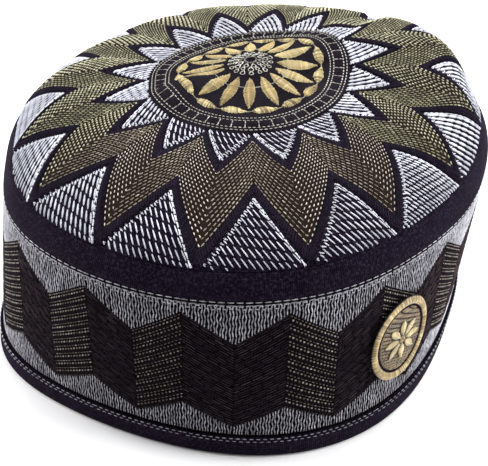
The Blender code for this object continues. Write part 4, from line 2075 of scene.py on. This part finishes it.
@dataclass
class HemBinding:
    """The black binding round the wall's lower edge, with two dashed rows."""

    shop: Workshop
    length: float = 0.57
    columns_a_peak: int = 14
    height: float = 0.0090
    inside_height: float = 0.0080
    corner: float = 0.0009
    corner_nodes: int = 6
    inside_nodes: int = 6
    outside_nodes: int = 9
    bright_turn: float = radians(225)
    dash_rows: tuple = ((0.0087, 0.50), (0.0074, 0.38))
    dash_pitch: float = 0.0023
    dash_length: float = 0.0014
    dash_lowest: float = 0.35
    dash_spread: float = 0.14
    dash_thread: Thread = Thread(0.00038, 0.0004, 0.0001)

    def section(self) -> Values:
        """List the middle line of the folded cloth, from inside top to outside top.

        Returns:
            Pairs of a distance out from the wall and a height.
        """
        shape = self.shop.shape
        half = shape.hem_cloth / 2
        inner = -shape.cloth - shape.gap - half
        outer = shape.gap + half
        straight = half + self.corner
        inside = np.linspace(self.inside_height, straight, self.inside_nodes)[:-1]
        outside = np.linspace(straight, self.height - half, self.outside_nodes)[1:]
        bend = np.linspace(0, pi / 2, self.corner_nodes)
        across = self.corner * (1 - np.cos(bend))
        up = half + self.corner * (1 - np.sin(bend))
        corners = (pairs(inner + across, up), pairs(outer - across, up)[::-1])
        return np.concatenate([pairs(inner, inside), *corners, pairs(outer, outside)])

    def build(self) -> None:
        """Build the binding and its dashes."""
        shape = self.shop.shape
        section = self.section()
        last_row = len(section) - 1

        def place(around: Values, along: Values) -> Values:
            """Wrap the grid round the rim.

            Args:
                around: Grid coordinates round the piece, 0 to 1.
                along: Grid coordinates across it, 0 to 1.

            Returns:
                The points.
            """
            row = np.rint(along * last_row).astype(int)
            turn = shape.zigzag_turn(around * shape.zigzag_count)
            return shape.wall(turn, section[row, 1], section[row, 0])

        lengths = np.linalg.norm(np.diff(section, axis=0), axis=1).sum()
        grid = (shape.zigzag_count * self.columns_a_peak, last_row)
        outward = (-cos(shape.zigzag_first), -sin(shape.zigzag_first), 0)
        size = (self.length, lengths)
        shell = Shell("hem_cloth", "hem_binding", grid, size, shape.hem_cloth, outward, offset=0.0)
        piece = self.shop.clothe(shell, place)
        rim = float(np.mean(shape.rim_radius(np.linspace(0, FULL_TURN, 720, endpoint=False))))
        stitches = Stitches(HemGround(shape))
        for step in range(shape.zigzag_count):
            for row, (height, tone) in enumerate(self.dash_rows):
                start, end = pairs([step, step + 1.0], height)
                offset = -self.dash_pitch / 2 * row
                first, last = stitches.run(start, end, self.dash_pitch, self.dash_length, offset)
                shine = facing(shape.zigzag_turn(first[:, 0]), self.bright_turn)
                lowest = tone * (self.dash_lowest + (1 - self.dash_lowest) * shine)
                stitches.add(first, last, self.dash_thread, self.shop.lighter_tones(lowest, self.dash_spread))
        self.shop.sew("hem_stitches", stitches, "grey", Slot.STAR_CLOTH)


@dataclass
class Badge:
    """The oval patch: a satin border round a ground with an eight-petal rosette."""

    shop: Workshop
    half_width: float = 0.0135
    half_height: float = 0.0170
    thickness: float = 0.0010
    size: tuple = (0.096, 0.017)
    grid: tuple = (96, 26)
    border_rise: float = 0.0007
    border_from: float = 0.78
    border_runs: tuple = (0.06, 0.05)
    middle_rise: float = 0.0003
    border_count: int = 240
    border_sizes: tuple = (0.80, 1.0)
    border_slant: float = 0.02
    border_tone: tuple = (0.62, 0.20)
    border_thread: Thread = Thread(0.00050, 0.0004, 0.0003, 0.0009)
    fill_size: float = 0.76
    fill_row: float = 0.0005
    fill_least: float = 0.001
    fill_pitch: float = 0.0042
    fill_length: float = 0.0041
    fill_tone: tuple = (0.10, 0.10)
    fill_thread: Thread = Thread(0.00052, 0.00036, 0.0003)
    petals: int = 8
    petal_stitches: int = 18
    petal_foot: float = 0.0018
    petal_length: float = 0.0062
    petal_half_width: float = 0.0016
    petal_fullness: float = 0.7
    petal_tone: tuple = (0.85, 0.1)
    petal_thread: Thread = Thread(0.00048, 0.0004, 0.0006, 0.0005)
    ring_stitches: int = 14
    ring_radii: tuple = (0.0003, 0.0015)
    ring_tone: tuple = (0.6, 0.1)
    ring_thread: Thread = Thread(0.0005, 0.0004, 0.0007, 0.0003)

    def outline(self, angle: Values, size: Values) -> Values:
        """Give coordinates on an oval; size 1 is the patch's outline."""
        return pairs(self.half_width * np.cos(angle) * size, self.half_height * np.sin(angle) * size)

    def build(self) -> None:
        """Build the patch and its embroidery."""
        ground = BadgeGround(self.shop.shape)
        rise_run, fall_run = self.border_runs

        def place(around: Values, along: Values) -> Values:
            """Wrap the grid as an oval disc with a raised border.

            Args:
                around: Grid coordinates round the piece, 0 to 1.
                along: Grid coordinates across it, 0 to 1.

            Returns:
                The points.
            """
            oval = self.outline(FULL_TURN * around, along)
            raised = self.border_rise * eased((along - self.border_from) / rise_run)
            raised = raised * eased((1.0 - along) / fall_run) + self.middle_rise * (1 - along**2)
            return ground.point(oval[:, 0], oval[:, 1], raised)

        outward = (cos(ground.middle_turn), sin(ground.middle_turn), 0)
        slot = Slot.GOLD_THREAD
        shell = Shell("badge_cloth", "badge", self.grid, self.size, self.thickness, outward, slot=slot)
        self.shop.clothe(shell, place)
        stitches = Stitches(ground)
        self.stitch_border(stitches)
        self.stitch_fill(stitches)
        self.stitch_rosette(stitches)
        self.shop.sew("badge_stitches", stitches, "metal", Slot.GOLD_THREAD)

    def stitch_border(self, stitches: Stitches) -> None:
        """Lay satin stitches across the raised border.

        Args:
            stitches: What the threads are added to.
        """
        angle = FULL_TURN * np.arange(self.border_count) / self.border_count
        start = self.outline(angle, self.border_sizes[0])
        end = self.outline(angle + self.border_slant, self.border_sizes[1])
        stitches.add(start, end, self.border_thread, self.shop.tones(len(angle), *self.border_tone))

    def stitch_fill(self, stitches: Stitches) -> None:
        """Fill the ground with level rows of longer stitches.

        Args:
            stitches: What the threads are added to.
        """
        tall, wide = self.fill_size * self.half_height, self.fill_size * self.half_width
        for number in range(int(2 * tall / self.fill_row)):
            up = -tall + (number + 0.5) * self.fill_row
            reach = wide * sqrt(max(1 - (up / tall) ** 2, 0.0))
            if reach < self.fill_least:
                continue
            start, end = pairs([-reach, reach], up)
            offset = -self.fill_pitch / 3 * (number % 3)
            first, last = stitches.run(start, end, self.fill_pitch, self.fill_length, offset)
            stitches.add(first, last, self.fill_thread, self.shop.tones(len(first), *self.fill_tone))

    def stitch_rosette(self, stitches: Stitches) -> None:
        """Lay the petals in satin over the filled ground.

        Args:
            stitches: What the threads are added to.
        """
        share = centres(self.petal_stitches)
        wide = self.petal_half_width * np.sin(pi * share) ** self.petal_fullness
        for petal in range(self.petals):
            angle = FULL_TURN * petal / self.petals + pi / 2
            middle = pairs(cos(angle), sin(angle)) * (self.petal_foot + self.petal_length * share)[:, None]
            side = pairs(-sin(angle), cos(angle)) * wide[:, None]
            tone = self.shop.tones(self.petal_stitches, *self.petal_tone)
            stitches.add(middle + side, middle - side, self.petal_thread, tone)
        angle = FULL_TURN * np.arange(self.ring_stitches) / self.ring_stitches
        start, end = (radius * pairs(np.cos(angle), np.sin(angle)) for radius in self.ring_radii)
        stitches.add(start, end, self.ring_thread, self.shop.tones(self.ring_stitches, *self.ring_tone))


@dataclass
class Studio:
    """The camera, the soft lights and the pale floor.

    A light has its name, its place, its size and its power.
    """

    camera_turn: float = radians(31.2)
    elevation: float = radians(36.1)
    distance: float = 0.4542
    sideways: float = -0.0006
    aim_height: float = 0.0249
    roll: float = radians(1.6)
    lens: float = 84.4
    sensor_width: float = 36.0
    nearest: float = 0.01
    floor_size: float = 6.0
    floor_faces: int = 8
    world_strength: float = 0.355
    lights_aim: tuple = (0, 0, 0.05)
    lights: tuple = (
        ("top light", (0.0, 0.30, 1.25), 0.8, 20.0),
        ("left light", (-1.05, -0.30, 0.70), 0.7, 18.0),
        ("right light", (0.95, 0.55, 0.70), 0.7, 16.5),
    )

    def build(self, shape: CapShape) -> None:
        """Set up the whole studio.

        Args:
            shape: Curves of the cap, for its centre.
        """
        bpy.context.scene.view_settings.view_transform = "Standard"
        self.build_camera(shape)
        self.build_floor()
        self.build_world()
        for light in self.lights:
            self.add_light(*light)

    def build_camera(self, shape: CapShape) -> None:
        """Stand the camera where the picture was taken from.

        Args:
            shape: Curves of the cap, for its centre.
        """
        turn = self.camera_turn
        right = Vector((cos(turn), sin(turn), 0.0))
        level = Vector((sin(turn), -cos(turn), 0.0))
        back = level * cos(self.elevation) + Vector((0, 0, sin(self.elevation)))
        up = back.cross(right)
        across = right * cos(self.roll) + up * sin(self.roll)
        upward = up * cos(self.roll) - right * sin(self.roll)
        target = Vector((*shape.shift, self.aim_height)) + right * self.sideways
        camera = bpy.data.objects.new("camera", bpy.data.cameras.new("camera"))
        bpy.context.scene.collection.objects.link(camera)
        camera.data.lens = self.lens
        camera.data.sensor_width = self.sensor_width
        camera.data.sensor_fit = "HORIZONTAL"
        camera.data.clip_start = self.nearest
        turning = Matrix((across, upward, back)).transposed()
        camera.matrix_world = Matrix.Translation(target + back * self.distance) @ turning.to_4x4()
        bpy.context.scene.camera = camera

    def build_floor(self) -> None:
        """Lay the pale floor."""
        bpy.ops.object.select_all(action="DESELECT")
        faces = self.floor_faces
        bpy.ops.mesh.primitive_grid_add(x_subdivisions=faces, y_subdivisions=faces, size=self.floor_size)
        floor_piece = bpy.context.object
        floor_piece.name = "floor"
        floor_piece.data.materials.append(FloorFinish().material())

    def build_world(self) -> None:
        """Light the whole scene evenly from all sides."""
        world = bpy.data.worlds.new("studio")
        bpy.context.scene.world = world
        world.use_nodes = True
        background = world.node_tree.nodes["Background"]
        background.inputs["Color"].default_value = (*WHITE, 1.0)
        background.inputs["Strength"].default_value = self.world_strength

    def add_light(self, name: str, place: tuple, size: float, power: float) -> None:
        """Add a soft square light that looks at the cap.

        Args:
            name: Name of the light.
            place: Where it hangs.
            size: Length of its sides.
            power: Its power in watts.
        """
        light = bpy.data.lights.new(name, "AREA")
        light.shape = "SQUARE"
        light.size = size
        light.energy = power
        lamp = bpy.data.objects.new(name, light)
        bpy.context.scene.collection.objects.link(lamp)
        lamp.location = place
        away = Vector(place) - Vector(self.lights_aim)
        lamp.rotation_euler = away.to_track_quat("Z", "Y").to_euler()


def main() -> None:
    """Build the cap's looks round the packed model."""
    logging.basicConfig(level=logging.INFO, format="%(name)s %(message)s")
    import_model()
    low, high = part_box("crown_edge")
    centre = (low + high) / 2
    across, deep = CapShape().seam_centre()
    shape = CapShape(shift=(centre.x - across, centre.y - deep))
    Studio().build(shape)
    materials = {name: finish.material() for name, finish in vars(Finishes()).items()}
    shop = Workshop(shape, ThreadMould(), ClothMaker(), materials, np.random.default_rng(SEED))
    for maker in (Crown, Medallion, CrownEdge, SideWall, HemBinding, Badge):
        maker(shop).build()
        LOG.info("built the %s", maker.__name__)


if __name__ == "__main__":
    main()
